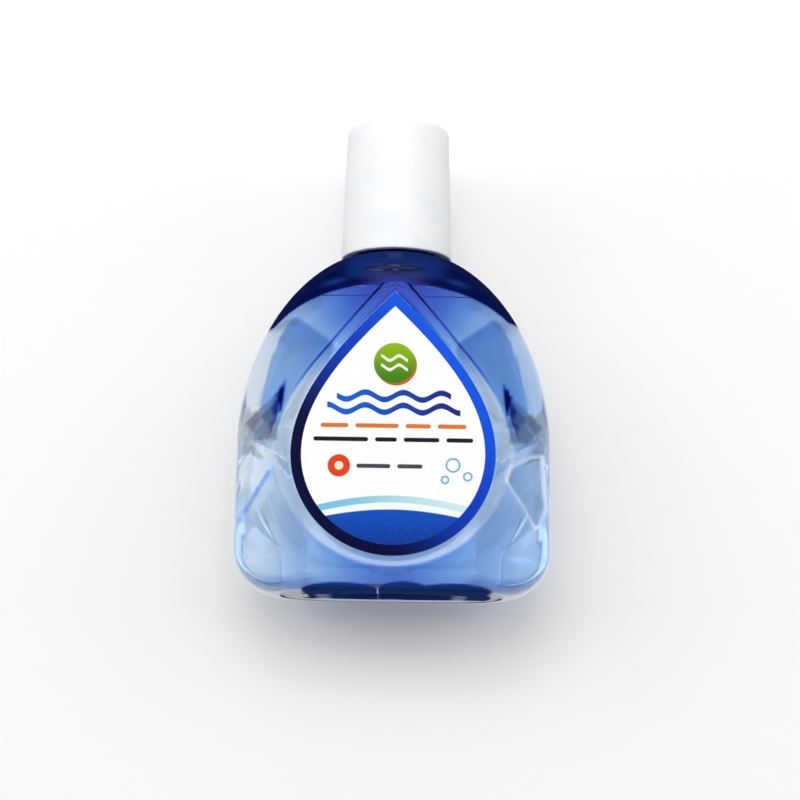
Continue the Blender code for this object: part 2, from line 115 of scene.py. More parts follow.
class NodeBoard:
    """The nodes of a material or a world, laid out and joined by short calls."""

    def __init__(self, owner: bpy.types.Material | bpy.types.World) -> None:
        """Start an empty board.

        Args:
            owner: The material or world that the nodes are for.
        """
        owner.use_nodes = True
        self.owner = owner
        self.tree = owner.node_tree
        self.tree.nodes.clear()
        kind = "World" if isinstance(owner, bpy.types.World) else "Material"
        self.output = self.add(f"ShaderNodeOutput{kind}")

    @classmethod
    def of(cls, name: str) -> "NodeBoard":
        """Start the board of a new material of that name."""
        return cls(bpy.data.materials.new(name))

    def add(self, kind: str, *values: object, **settings: object) -> bpy.types.Node:
        """Add a node.

        Args:
            kind: The node's type name.
            *values: What its first inputs are fed.
            **settings: Properties to set on it.

        Returns:
            The new node.
        """
        node = self.tree.nodes.new(kind)
        for key, value in settings.items():
            setattr(node, key, value)
        for target, value in zip(node.inputs, values):
            self.feed(target, value)
        return node

    def feed(self, target: Socket, value: object) -> None:
        """Link a node or a socket to an input, or set the input's own value.

        Args:
            target: The input socket.
            value: A node, an output socket, a number or a colour.
        """
        if isinstance(value, bpy.types.Node):
            value = value.outputs[0]
        if isinstance(value, bpy.types.NodeSocket):
            self.tree.links.new(value, target)
        elif isinstance(value, tuple) and target.type == "RGBA":
            target.default_value = (*value, 1.0)
        else:
            target.default_value = value

    def math(self, operation: str, *values: object) -> Socket:
        """Do a sum on numbers or sockets."""
        return self.add("ShaderNodeMath", *values, operation=operation).outputs[0]

    def spread(self, value: object, low: float, high: float, start: float = 0.0, end: float = 1.0) -> Socket:
        """Map a value from one range to another, with soft ends.

        Args:
            value: The value's socket.
            low: Where the first range starts.
            high: Where it ends.
            start: What low becomes.
            end: What high becomes.

        Returns:
            The mapped value.
        """
        values = (value, low, high, start, end)
        return self.add("ShaderNodeMapRange", *values, interpolation_type="SMOOTHSTEP").outputs[0]

    def mix(self, share: object, first: object, second: object) -> Socket:
        """Mix two colours.

        Args:
            share: How much of the second shows, from 0 to 1.
            first: The first colour or socket.
            second: The second colour or socket.

        Returns:
            The mixed colour.
        """
        node = self.add("ShaderNodeMix", data_type="RGBA")
        for place, value in ((0, share), (6, first), (7, second)):
            self.feed(node.inputs[place], value)
        return node.outputs[2]

    def blend(self, share: object, first: bpy.types.Node, second: bpy.types.Node) -> bpy.types.Node:
        """Mix two shaders, by how much of the second shows."""
        return self.add("ShaderNodeMixShader", share, first, second)

    def clear(self, colour: Rgb = (1.0, 1.0, 1.0)) -> bpy.types.Node:
        """Let light straight through, tinted."""
        return self.add("ShaderNodeBsdfTransparent", colour)

    def place(self) -> tuple[Socket, Socket, Socket]:
        """Read the point on the object in millimetres.

        Returns:
            The point as a vector, then its X and its Z.
        """
        point = self.add("ShaderNodeTexCoord").outputs["Object"]
        scaled = self.add("ShaderNodeVectorMath", point, operation="SCALE")
        self.feed(scaled.inputs["Scale"], 1 / MM)
        parts = self.add("ShaderNodeSeparateXYZ", scaled)
        return scaled.outputs[0], parts.outputs[0], parts.outputs[2]

    def mesh_value(self, name: str) -> Socket:
        """Read a value that the mesh keeps for each of its points."""
        return self.add("ShaderNodeAttribute", attribute_name=name).outputs["Fac"]

    def noise(self, point: Socket, scale: float, detail: float) -> Socket:
        """Add soft noise.

        Args:
            point: The vector socket to read it at.
            scale: Its fineness, in waves per millimetre.
            detail: How many finer layers it has.

        Returns:
            The noise, from 0 to 1.
        """
        node = self.add("ShaderNodeTexNoise")
        for name, value in (("Vector", point), ("Scale", scale), ("Detail", detail)):
            self.feed(node.inputs[name], value)
        return node.outputs[0]

    def bump(self, height: Socket, distance: float) -> Socket:
        """Turn a height into a normal.

        Args:
            height: The height's socket.
            distance: The depth that a height of 1 stands for, in metres.

        Returns:
            The normal.
        """
        node = self.add("ShaderNodeBump")
        self.feed(node.inputs["Height"], height)
        self.feed(node.inputs["Distance"], distance)
        return node.outputs[0]

    def principled(self, **values: object) -> bpy.types.Node:
        """Add the main shader.

        Args:
            **values: Its inputs, with _ for each space in their names.

        Returns:
            The shader node.
        """
        shader = self.add("ShaderNodeBsdfPrincipled")
        for key, value in values.items():
            self.feed(shader.inputs[key.replace("_", " ")], value)
        return shader

    def light_path(self, *names: str) -> Socket:
        """Tell which rays are of any of the named kinds.

        Args:
            *names: Outputs of the light path node.

        Returns:
            1 for those rays and 0 for the others.
        """
        path = self.add("ShaderNodeLightPath")
        total = path.outputs[names[0]]
        for name in names[1:]:
            total = self.math("MAXIMUM", total, path.outputs[name])
        return total

    def close(
        self, surface: bpy.types.Node, depth_colour: Rgb | None = None, density: float = 0.0
    ) -> bpy.types.Material | bpy.types.World:
        """Join the last shader to the output.

        Args:
            surface: The surface's shader.
            depth_colour: What is left of white light inside after one absorption length.
            density: Absorption lengths in a metre.

        Returns:
            The finished material or world.
        """
        self.feed(self.output.inputs["Surface"], surface)
        if depth_colour:
            volume = self.add("ShaderNodeVolumeAbsorption", depth_colour, density)
            self.feed(self.output.inputs["Volume"], volume)
        return self.owner


@dataclass(frozen=True)
class ClearBluePlastic:
    """Clear PET, tinted blue through its depth and moulded glossy, with painted shade and painted light laid
    on from the mesh.

    Attributes:
        depth_colour: What is left of white light after one absorption length.
        density: Absorption lengths in a metre.
        bend: Refractive index.
        ripple: Depth of the soft waves that blow moulding leaves.
        thick_tint: What is left of white light where the wall is drawn as thicker plastic or in painted
            shade, at a mesh value of 1.
        painted_dark_tints: The mesh values at which the painted shade starts to cover the clear plastic, and
            at which it nearly hides it.
        painted_shade_colour: The colour of that painted shade.
        painted_light_colour: Its colour where painted light falls on it, as at the foot.
        shade: What each of its surfaces leaves of the light that falls through it onto other things.
    """

    depth_colour: Rgb = (0.850, 0.898, 0.955)
    density: float = 800.0
    bend: float = 1.57
    ripple: float = 0.00004
    thick_tint: Rgb = (0.23, 0.445, 0.87)
    painted_dark_tints: Span = (3.4, 7.0)
    painted_shade_colour: Rgb = (0.0010, 0.0038, 0.050)
    painted_light_colour: Rgb = (0.020, 0.100, 0.550)
    shade: Rgb = (0.50, 0.51, 0.54)

    def make(self) -> bpy.types.Material:
        """Build the material.

        Returns:
            The material.
        """
        board = NodeBoard.of("clear blue plastic")
        point, _, _ = board.place()
        # This mesh value holds the plastic's depth of colour together with painted shade.
        tint_and_shade = board.mesh_value("tint_and_shade")
        uneven = board.spread(board.noise(point, 0.35, 2.0), 0.2, 0.8, 0.93, 1.07)
        thin = board.principled(
            Base_Color=board.add("ShaderNodeGamma", self.thick_tint, board.math("MULTIPLY", tint_and_shade, uneven)),
            Roughness=board.spread(board.noise(point, 0.6, 3.0), 0.3, 0.8, 0.015, 0.05),
            Transmission_Weight=1.0,
            IOR=self.bend,
            Normal=board.bump(board.noise(point, 0.22, 1.0), self.ripple),
        )
        # Painted shade: an opaque navy shader stands in for dark refraction in the deep-coloured parts, paler
        # where the mesh's lit value paints light on them.
        colour = board.mix(board.mesh_value("lit"), self.painted_shade_colour, self.painted_light_colour)
        painted_dark = board.principled(Base_Color=colour, Roughness=0.3, Specular_IOR_Level=0.0)
        deep = board.spread(tint_and_shade, *self.painted_dark_tints, 0.0, 0.985)
        # Mix in painted shade where the mesh asks for it.
        share = board.math("MAXIMUM", deep, board.mesh_value("painted_shade"))
        wall = board.blend(board.mesh_value("open"), board.blend(share, thin, painted_dark), board.clear())
        surface = board.blend(board.light_path("Is Shadow Ray"), wall, board.clear(self.shade))
        return board.close(surface, self.depth_colour, self.density)


@dataclass(frozen=True)
class ClearLiquid:
    """The watery liquid, faintly tinted in its depth, with a painted glow on the rim of its bubble.

    Attributes:
        depth_colour: What is left of white light after one absorption length.
        density: Absorption lengths in a metre.
        bend: Refractive index.
        painted_rim_glow: The painted glow in the rim of a bubble.
        painted_rim_share: How much of that rim it fills.
    """

    depth_colour: Rgb = (0.90, 0.95, 0.99)
    density: float = 40.0
    bend: float = 1.335
    painted_rim_glow: Rgb = (0.96, 0.98, 1.0)
    painted_rim_share: float = 0.9

    def make(self) -> bpy.types.Material:
        """Build the material.

        Returns:
            The material.
        """
        board = NodeBoard.of("clear liquid")
        point, _, _ = board.place()
        water = board.principled(
            Base_Color=(1.0, 1.0, 1.0),
            Roughness=0.0,
            Transmission_Weight=1.0,
            IOR=self.bend,
            Normal=board.bump(board.noise(point, 0.08, 0.0), 0.00001),
        )
        # Painted highlight: the bubble's rim glows with an emission.
        rim = board.math("MULTIPLY", board.mesh_value("rim"), self.painted_rim_share)
        with_painted_rim = board.blend(rim, water, board.add("ShaderNodeEmission", self.painted_rim_glow))
        passing = board.math("MAXIMUM", board.light_path("Is Shadow Ray"), board.mesh_value("open"))
        return board.close(board.blend(passing, with_painted_rim, board.clear()), self.depth_colour, self.density)


@dataclass(frozen=True)
class SatinPlastic:
    """An opaque or milky moulded plastic with a fine satin grain.

    Attributes:
        name: The material's name.
        colour: Its main colour.
        shade: The slightly deeper colour of its cloudy patches.
        gloss: Its roughness where it is glossiest.
        dullness: Its roughness where it is dullest.
        glow: How much light spreads below its surface.
        grain: Depth of the grain.
        painted_glow_through_glass: Strength of the painted glow it shows where it is seen through clear
            plastic and liquid.
    """

    name: str
    colour: Rgb
    shade: Rgb
    gloss: float
    dullness: float
    glow: float
    grain: float
    painted_glow_through_glass: float = 0.0

    def make(self) -> bpy.types.Material:
        """Build the material.

        Returns:
            The material.
        """
        board = NodeBoard.of(self.name)
        point, _, _ = board.place()
        clouds = board.noise(point, 0.35, 3.0)
        speckle = board.noise(point, 14.0, 2.0)
        surface = board.principled(
            Base_Color=board.mix(board.spread(clouds, 0.35, 0.75), self.colour, self.shade),
            Roughness=board.spread(speckle, 0.3, 0.7, self.gloss, self.dullness),
            Subsurface_Weight=self.glow,
            Subsurface_Radius=(1.0, 0.9, 0.8),
            Subsurface_Scale=0.0012,
            IOR=1.49,
            Normal=board.bump(speckle, self.grain),
        )
        # Painted light: it glows where it is seen through clear plastic and liquid.
        if self.painted_glow_through_glass:
            shine = board.add("ShaderNodeEmission", self.colour, self.painted_glow_through_glass)
            surface = board.blend(board.light_path("Is Transmission Ray"), surface, shine)
        return board.close(surface)


class LabelPrint(NodeBoard):
    """Draws the print of a label from plain shapes, in millimetres across (x) and up (z)."""

    def __init__(self, name: str) -> None:
        """Start a print.

        Args:
            name: The material's name.
        """
        super().__init__(bpy.data.materials.new(name))
        self.point, self.x, self.z = self.place()
        self.ink: object = (1.0, 1.0, 1.0)

    def edge(self, distance: object, softness: float = 0.04) -> Socket:
        """Turn a signed distance, below 0 inside a shape, into a mask with an edge of twice the softness."""
        return self.spread(distance, softness, -softness)

    def beyond(self, value: object, middle: object, half: float) -> Socket:
        """Measure how far a value lies outside a span about middle, below 0 inside it."""
        return self.math("SUBTRACT", self.math("ABSOLUTE", self.math("SUBTRACT", value, middle)), half)

    def diagonal(self, across: object, up: object) -> Socket:
        """Measure the length of the step (across, up)."""
        squares = self.math("MULTIPLY", across, across), self.math("MULTIPLY", up, up)
        return self.math("SQRT", self.math("ADD", *squares))

    def away(self, x: float, z: float) -> Socket:
        """Measure how far a point is from (x, z)."""
        return self.diagonal(self.math("SUBTRACT", self.x, x), self.math("SUBTRACT", self.z, z))

    def disc(self, x: float, z: float, radius: float) -> Socket:
        """Mask a disc about (x, z)."""
        return self.edge(self.math("SUBTRACT", self.away(x, z), radius))

    def hoop(self, x: float, z: float, radius: float, stroke: float) -> Socket:
        """Mask a ring about (x, z) whose line is as wide as stroke."""
        return self.edge(self.beyond(self.away(x, z), radius, stroke / 2))

    def rows(self, height: float, tall: float, *spans: Span) -> Socket:
        """Mask a row of round-ended strokes.

        Args:
            height: The row's height.
            tall: Half the thickness of a stroke.
            *spans: Where each stroke starts and ends, across.

        Returns:
            1 on a stroke and 0 off them.
        """
        total: object = 0.0
        for start, end in spans:
            across = self.beyond(self.x, (start + end) / 2, (end - start) / 2 - tall)
            away = self.diagonal(self.math("MAXIMUM", across, 0.0), self.math("SUBTRACT", self.z, height))
            total = self.math("MAXIMUM", total, self.edge(self.math("SUBTRACT", away, tall), 0.03))
        return total

    def line(self, level: float, swing: float, length: float, shift: float = 0.0) -> Socket:
        """Give the height of a wavy line at each place across.

        Args:
            level: Its mean height.
            swing: Height of its waves.
            length: Length of its waves.
            shift: How far before the middle a wave starts.

        Returns:
            The height.
        """
        angle = self.math("MULTIPLY", self.math("ADD", self.x, shift), 2 * math.pi / length)
        return self.math("ADD", self.math("MULTIPLY", self.math("SINE", angle), swing), level)

    def ripple(self, line: Socket, half: float, tall: float) -> Socket:
        """Mask a stroke along a line, half as wide as half across and half as thick as tall."""
        across = self.edge(self.beyond(self.x, 0.0, half))
        return self.math("MULTIPLY", self.edge(self.beyond(self.z, line, tall)), across)

    def lay(self, mask: object, colour: object) -> None:
        """Print a colour where a mask is 1."""
        self.ink = self.mix(mask, self.ink, colour)

    def ramp(self, value: object, low: float, high: float, first: object, second: object) -> Socket:
        """Run from one colour to another along a value."""
        return self.mix(self.spread(value, low, high), first, second)

    def finish(self, gloss: float) -> bpy.types.Material:
        """Turn the ink into printed film.

        Args:
            gloss: The film's roughness.

        Returns:
            The material.
        """
        speckle = self.noise(self.point, 6.0, 2.0)
        shader = self.principled(
            Base_Color=self.mix(self.spread(speckle, 0.2, 0.9, 0.0, 0.05), self.ink, (0.0, 0.0, 0.0)),
            Roughness=self.spread(speckle, 0.3, 0.8, gloss, gloss + 0.08),
            Specular_IOR_Level=0.06,
            IOR=1.5,
            Normal=self.bump(speckle, 0.000004),
        )
        return self.close(shader)


class BlueBorder(LabelPrint):
    """The blue band round a label, navy low on the left and bright on the right."""

    def __init__(self) -> None:
        """Draw the band."""
        super().__init__("label border")
        slant = self.math("ADD", self.math("MULTIPLY", self.x, 0.75), self.math("MULTIPLY", self.z, 0.55))
        low = self.ramp(slant, 2.0, 13.0, linear(3, 8, 58), linear(6, 60, 190))
        self.ink = self.ramp(slant, 12.0, 20.0, low, linear(4, 84, 226))


class FrontField(LabelPrint):
    """The front label's white field: nested blue arcs, a round badge, waves and rows of strokes."""

    def __init__(self) -> None:
        """Draw the field."""
        super().__init__("front label field")
        self.ink = linear(251, 251, 252)
        deep = self.ramp(self.z, 3.5, 9.5, linear(5, 42, 128), linear(12, 78, 190))
        grain = self.spread(self.noise(self.point, 3.0, 3.0), 0.35, 0.75, 0.0, 0.35)
        arcs = (
            (8.7, 1.9, self.ramp(self.x, -8.0, 8.0, linear(120, 196, 226), linear(206, 234, 236))),
            (7.9, 1.9, linear(243, 249, 247)),
            (7.3, 1.7, self.mix(grain, deep, linear(20, 92, 206))),
        )
        for level, swing, colour in arcs:
            self.lay(self.edge(self.math("SUBTRACT", self.z, self.line(level, swing, 46.0, 11.5))), colour)
        self.draw_badge()
        self.draw_waves()
        self.draw_strokes()

    def draw_badge(self) -> None:
        """Draw the green disc with two white waves, and the orange sickle under it."""
        self.lay(self.disc(0.2, 25.85, 2.4), linear(214, 92, 20))
        green = self.ramp(self.z, 24.0, 28.5, linear(62, 132, 24), linear(140, 186, 12))
        self.lay(self.disc(0.0, 26.1, 2.4), green)
        for level in (25.6, 26.7):
            self.lay(self.ripple(self.line(level, 0.28, 2.2), 1.55, 0.19), linear(240, 247, 222))

    def draw_waves(self) -> None:
        """Draw the two blue waves."""
        blue = self.ramp(self.x, -8.0, 8.0, linear(8, 96, 216), linear(18, 40, 132))
        for level, half in ((22.2, 6.6), (20.7, 7.7)):
            self.lay(self.ripple(self.line(level, 0.42, 4.4), half, 0.34), blue)

    def draw_strokes(self) -> None:
        """Draw the orange and the dark rows, the red ring with its strokes, and the bubbles."""
        upper = self.rows(18.7, 0.25, (-8.4, -5.2), (-4.4, 0.6), (1.4, 4.3), (5.1, 8.4))
        lower = self.rows(17.1, 0.25, (-9.2, -2.9), (-2.1, 0.4), (1.2, 5.3), (6.1, 9.2))
        self.lay(upper, linear(222, 118, 38))
        self.lay(lower, linear(30, 30, 36))
        self.lay(self.disc(-6.2, 14.0, 1.3), linear(226, 66, 22))
        self.lay(self.disc(-6.2, 14.0, 0.5), linear(250, 232, 206))
        self.lay(self.rows(14.0, 0.24, (-4.2, -0.3), (0.5, 3.4)), linear(70, 72, 78))
        for x, z, size in ((6.9, 14.2, 0.75), (8.6, 12.9, 0.45), (6.0, 12.5, 0.4)):
            self.lay(self.hoop(x, z, size, 0.22), linear(110, 178, 218))


class RearField(LabelPrint):
    """The rear label's field: rows of fine grey strokes between two blue bars."""

    def __init__(self) -> None:
        """Draw the field."""
        super().__init__("rear label field")
        self.ink = linear(248, 249, 250)
        blue = linear(10, 80, 196)
        self.lay(self.rows(25.0, 0.7, (-3.8, 3.8)), blue)
        rows = ((-4.3, -0.4, 4.4), (-6.0, 1.1, 6.2), (-7.4, -2.2, 7.5), (-8.4, 3.0, 8.3), (-8.9, -4.1, 8.9))
        rows += ((-9.0, 0.6, 6.4), (-8.6, -1.5, 8.7), (-7.9, 4.2, 5.6))
        for number, (start, gap, end) in enumerate(rows):
            row = self.rows(22.4 - 1.75 * number, 0.2, (start, gap - 0.3), (gap + 0.3, end))
            self.lay(row, linear(74, 78, 90))
        self.lay(self.rows(6.9, 0.5, (-4.6, 4.6)), blue)


def placed(name: str, data: bpy.types.ID) -> bpy.types.Object:
    """Put a mesh, a curve, a camera or a lamp in the scene.

    Args:
        name: The object's name.
        data: What it shows.

    Returns:
        The object.
    """
    obj = bpy.data.objects.new(name, data)
    bpy.context.scene.collection.objects.link(obj)
    return obj


def final_mesh(obj: bpy.types.Object) -> bpy.types.Mesh:
    """Make a mesh of what an object's modifiers or its curve give.

    Args:
        obj: The object.

    Returns:
        The mesh.
    """
    bpy.context.view_layer.update()
    graph = bpy.context.evaluated_depsgraph_get()
    return bpy.data.meshes.new_from_object(obj.evaluated_get(graph), depsgraph=graph)


def settle(obj: bpy.types.Object) -> None:
    """Replace an object's mesh by what its modifiers make of it.

    Args:
        obj: The object.
    """
    mesh = final_mesh(obj)
    obj.modifiers.clear()
    old = obj.data
    obj.data = mesh
    bpy.data.meshes.remove(old)


def join(obj: bpy.types.Object, other: bpy.types.Object) -> None:
    """Join another closed mesh to an object, and drop the other.

    Args:
        obj: The object that is changed.
        other: The object that is joined to it.
    """
    modifier = obj.modifiers.new("join", "BOOLEAN")
    modifier.operation = "UNION"
    modifier.solver = "EXACT"
    modifier.object = other
    settle(obj)
    bpy.data.objects.remove(other)


def soft_min(first: Array, second: Array, reach: float | Array) -> Array:
    """Take the smaller of two fields, rounded off where they meet.

    Args:
        first: The first field.
        second: The second field.
        reach: How far apart they may be where the rounding starts.

    Returns:
        The rounded smaller field.
    """
    blend = np.clip(reach - np.abs(first - second), 0.0, None) / reach
    return np.minimum(first, second) - blend**2 * reach / 4


def soft_max(first: Array, second: Array, reach: float) -> Array:
    """Take the larger of two fields, filled where they meet."""
    return -soft_min(-first, -second, reach)


def rise(value: Array, span: Span) -> Array:
    """Run from 0 at the start of a span to 1 at its end, with soft ends."""
    share = np.clip((value - span[0]) / (span[1] - span[0]), 0.0, 1.0)
    return share * share * (3 - 2 * share)


def fall(value: Array, span: Span) -> Array:
    """Run from 1 at the start of a span to 0 at its end, with soft ends."""
    return 1 - rise(value, span)


def bell(value: Array, middle: float, width: float) -> Array:
    """Give a soft hump, 1 in the middle and about a third of that a width away."""
    return np.exp(-(((value - middle) / width) ** 2))


def outline_distance(outline: Profile | Spans, x: Array, z: Array) -> Array:
    """Measure how far points lie from a closed outline.

    Args:
        outline: Points (x, z) round it.
        x: The points' places across.
        z: Their heights.

    Returns:
        The distances, below 0 inside.
    """
    nearest = np.full(x.shape, np.inf)
    inside = np.zeros(x.shape, dtype=bool)
    for (x1, z1), (x2, z2) in zip(outline, outline[1:] + outline[:1]):
        along_x, along_z = x2 - x1, z2 - z1
        length = along_x**2 + along_z**2
        share = np.clip(((x - x1) * along_x + (z - z1) * along_z) / length, 0.0, 1.0)
        nearest = np.minimum(nearest, (x - x1 - share * along_x) ** 2 + (z - z1 - share * along_z) ** 2)
        if z1 != z2:
            inside ^= ((z1 > z) != (z2 > z)) & (x < x1 + (z - z1) * along_x / along_z)
    return np.where(inside, -1.0, 1.0) * np.sqrt(nearest)


@dataclass(frozen=True)
class Drop:
    """The drop shape of the panels and labels.

    Attributes:
        radius: Radius of its round foot.
        rise: Height of its tip over the foot's centre.
        middle: Height of the foot's centre.
        tip_angle: Angle of its sides to the vertical at its tip, in degrees.
        tip_handle_share: Length of the side curve's handle at the tip, as a share of the rise.
        side_handle_share: Length of its handle at the foot, as a share of the rise.
        points: Points on each side.
    """

    radius: float
    rise: float
    middle: float
    tip_angle: float = 46.0
    tip_handle_share: float = 0.42
    side_handle_share: float = 0.37
    points: int = 40

    def outline(self) -> Profile:
        """Trace it.

        Returns:
            Points (x, z) from the tip, down the right side, round the foot and back up the left.
        """
        lean = math.radians(self.tip_angle)
        tip = Vector((0.0, self.rise))
        end = Vector((self.radius, 0.0))
        first = tip + self.tip_handle_share * self.rise * Vector((math.sin(lean), -math.cos(lean)))
        second = end + Vector((0.0, self.side_handle_share * self.rise))
        side = []
        for k in range(self.points):
            t = k / self.points
            u = 1 - t
            side.append(u**3 * tip + 3 * u * u * t * first + 3 * u * t * t * second + t**3 * end)
        turn = [math.pi * k / (2 * self.points) for k in range(2 * self.points + 1)]
        foot = [Vector((self.radius * math.cos(a), -self.radius * math.sin(a))) for a in turn]
        left = [Vector((-p.x, p.y)) for p in reversed(side[1:])]
        return [(p.x, self.middle + p.y) for p in side + foot + left]

    def drawn_in(self, border: float) -> "Drop":
        """Draw it in by an even border, given by its width."""
        narrow = border / math.sin(math.radians(self.tip_angle))
        return replace(self, radius=self.radius - border, rise=self.rise - narrow)


@dataclass(frozen=True)
class Facet:
    """A flat cut on each quarter of the body.

    Attributes:
        point_shares: A point on it, in shares of the half width, the half depth and the shoulder's height.
        turn: Its turn to the side, in degrees.
        tip: Its tip upwards, in degrees.
        tint_and_shade: How much deeper its colour is drawn, as painted shade.
    """

    point_shares: tuple[float, float, float]
    turn: float
    tip: float
    tint_and_shade: float = 0.0


@dataclass(frozen=True)
class Skin:
    """A surface inside the outer surface of the body.

    Attributes:
        inset: How far inside it lies on the walls.
        floor: How far over the foot its floor lies.
        shoulder: How far inside it lies at the shoulder.
        panels: The faces whose raised panel it follows.
    """

    inset: float = 0.0
    floor: float = 0.0
    shoulder: float = 0.0
    panels: tuple[Face, ...] = (Face.FRONT, Face.REAR)


@dataclass(frozen=True)
class BodyForm:
    """The form of the body: how far it reaches from the Z axis in each direction at each level.

    Attributes:
        width: Its full width.
        depth: Its full depth without the panels.
        side_corner: Rounding at the foot of its narrow sides.
        face_corner: Rounding at the foot of its broad faces.
        side_curve_level: Height over which the narrow sides curve in.
        face_curve_level: Height over which the broad faces curve in.
        shoulder_top: Height of the shoulder's top.
        shoulder_width: Width at that height.
        shoulder_depth: Depth at that height.
        squareness: Power of the oval low down, higher for squarer.
        roundness: Power of the oval at the shoulder's top.
        panel: Outline of the raised panels at the foot of their walls.
        panel_face: How far from the axis a panel's face lies.
        panel_draft: Lean of a panel's walls, in degrees.
        panel_skirt: How far behind their face its walls are followed.
        panel_edge: Rounding of a panel's edge.
        panel_fillet: Filling at the foot of its walls.
        panel_cell: Fineness at which a panel's outline is measured.
        halvings: How often the place of a panel's surface is narrowed down by half.
        facet_edge: Rounding of the facets' edges.
        brow_edges: That of the brows, at the rear and in front.
        middle_edge_share: Rounding of a facet where it meets its mirror image in the middle of a face.
        facet_bulge: Radius to which the facets bulge.
        facet_bulge_reach: How far from a facet's point they do.
        brow: The facet over the panel.
        cheek: The facet beside it.
        kite: The facet on each side at half height.
        waist_upper: The upper of the two that form the waist.
        waist_lower: The lower of those.
    """

    width: float = 37.6 * MM
    depth: float = 19.2 * MM
    side_corner: float = 5.4 * MM
    face_corner: float = 2.4 * MM
    side_curve_level: float = 17.0 * MM
    face_curve_level: float = 32.3 * MM
    shoulder_top: float = 40.8 * MM
    shoulder_width: float = 14.5 * MM
    shoulder_depth: float = 8.2 * MM
    squareness: float = 3.3
    roundness: float = 2.0
    panel: Drop = Drop(12.4 * MM, 19.7 * MM, 15.5 * MM)
    panel_face: float = 10.5 * MM
    panel_draft: float = 32.0
    panel_skirt: float = 5.0 * MM
    panel_edge: float = 0.45 * MM
    panel_fillet: float = 0.25 * MM
    panel_cell: float = 0.1 * MM
    halvings: int = 15
    facet_edge: float = 0.10 * MM
    brow_edges: Span = (2.2 * MM, 0.45 * MM)
    middle_edge_share: float = 0.06
    facet_bulge: float = 80.0 * MM
    facet_bulge_reach: float = 12.0 * MM
    brow: Facet = Facet((0.654, 0.677, 0.801), 14.5, 17.1)
    # The last value of these facets deepens their colour with painted shade.
    cheek: Facet = Facet((0.654, 0.677, 0.801), 19.0, 11.5, 1.35)
    kite: Facet = Facet((0.862, 0.738, 0.400), 29.1, -1.8, 0.1)
    waist_upper: Facet = Facet((0.729, 0.800, 0.392), 24.1, -8.7, 0.5)
    waist_lower: Facet = Facet((0.729, 0.800, 0.392), 6.7, 19.8)

    def half(self, z: Array, full: float, corner: float, level: float, top: float, skin: Skin) -> Array:
        """Give a skin's half width or half depth at each height.

        Args:
            z: The heights.
            full: The body's full width or depth.
            corner: Size of the rounding at its foot.
            level: Height over which it curves in.
            top: Its full width or depth at the top of the shoulder.
            skin: The skin.

        Returns:
            Half the width or depth.
        """
        half = full / 2 - skin.inset
        drop = np.clip((corner - z) / (corner - skin.floor), 0.0, 1.0)
        low = (corner - skin.inset) * (1 - np.sqrt(1 - drop**2))
        height = (self.shoulder_top - level) / math.sqrt(1 - (top / full) ** 2) - skin.shoulder
        climb = np.clip((z - level) / height, 0.0, 1.0)
        return (half - low) * np.sqrt(1 - climb**2)

    def oval(self, c: Array, s: Array, z: Array, skin: Skin) -> Array:
        """Give a skin's reach on the plain oval body.

        Args:
            c: Cosines of the directions.
            s: Their sines.
            z: Heights, as many as there are directions.
            skin: The skin.

        Returns:
            The distances from the axis.
        """
        climb = np.clip((z - self.side_curve_level) / (self.shoulder_top - self.side_curve_level), 0.0, 1.0)
        power = self.squareness + (self.roundness - self.squareness) * climb
        wide = self.half(z, self.width, self.side_corner, self.side_curve_level, self.shoulder_width, skin)
        deep = self.half(z, self.depth, self.face_corner, self.face_curve_level, self.shoulder_depth, skin)
        return ((np.abs(c) / wide) ** power + (np.abs(s) / deep) ** power) ** (-1 / power)

    def cut(self, facet: Facet, c: Array, s: Array, z: Array, skin: Skin) -> Array:
        """Give a skin's reach to a facet's plane.

        Args:
            facet: The facet.
            c: Cosines of the directions.
            s: Their sines.
            z: Heights, as many as there are directions.
            skin: The skin.

        Returns:
            The distances from the axis.
        """
        turn, tip = math.radians(facet.turn), math.radians(facet.tip)
        facing = (math.sin(turn) * math.cos(tip), math.cos(turn) * math.cos(tip), math.sin(tip))
        x, y, height = facet.point_shares
        point = (x * self.width / 2, y * self.depth / 2, height * self.shoulder_top)
        distance = sum(a * b for a, b in zip(facing, point)) - skin.inset
        across = facing[0] * np.hypot(c, self.middle_edge_share) + facing[1] * np.abs(s)
        flat = (distance - facing[2] * z) / across
        away = (flat * np.abs(c) - point[0]) ** 2 + (z - point[2]) ** 2
        return flat - np.clip(away, 0.0, self.facet_bulge_reach**2) / (2 * self.facet_bulge)

    def raised(self, c: Array, s: Array, z: Array, skin: Skin) -> Array:
        """Give a skin's reach on a raised panel, found by halving.

        Args:
            c: Cosines of the directions.
            s: Their sines.
            z: Heights, as many as there are directions.
            skin: The skin.

        Returns:
            The distances from the axis.
        """
        cell, last = self.panel_cell, 1.001
        side = np.arange(0.0, self.width / 2, cell)
        levels = np.arange(0.0, self.shoulder_top + cell, cell)
        table = outline_distance(self.panel.outline(), *np.meshgrid(side, levels)) + skin.inset
        slope = math.tan(math.radians(self.panel_draft))
        face = self.panel_face - skin.inset
        low = np.zeros(c.shape)
        high = np.full(c.shape, self.width / 2)
        row = np.clip(z / cell, 0, len(levels) - last)
        for _ in range(self.halvings):
            middle = (low + high) / 2
            column = np.clip(np.abs(middle * c) / cell, 0, len(side) - last)
            i, j = row.astype(int), column.astype(int)
            u, v = row - i, column - j
            lower = table[i, j] * (1 - v) + table[i, j + 1] * v
            upper = table[i + 1, j] * (1 - v) + table[i + 1, j + 1] * v
            behind = np.minimum(face - np.abs(middle * s), self.panel_skirt)
            out = soft_max((lower * (1 - u) + upper * u) - behind * slope, -behind, self.panel_edge)
            low = np.where(out < 0, middle, low)
            high = np.where(out < 0, high, middle)
        return (low + high) / 2

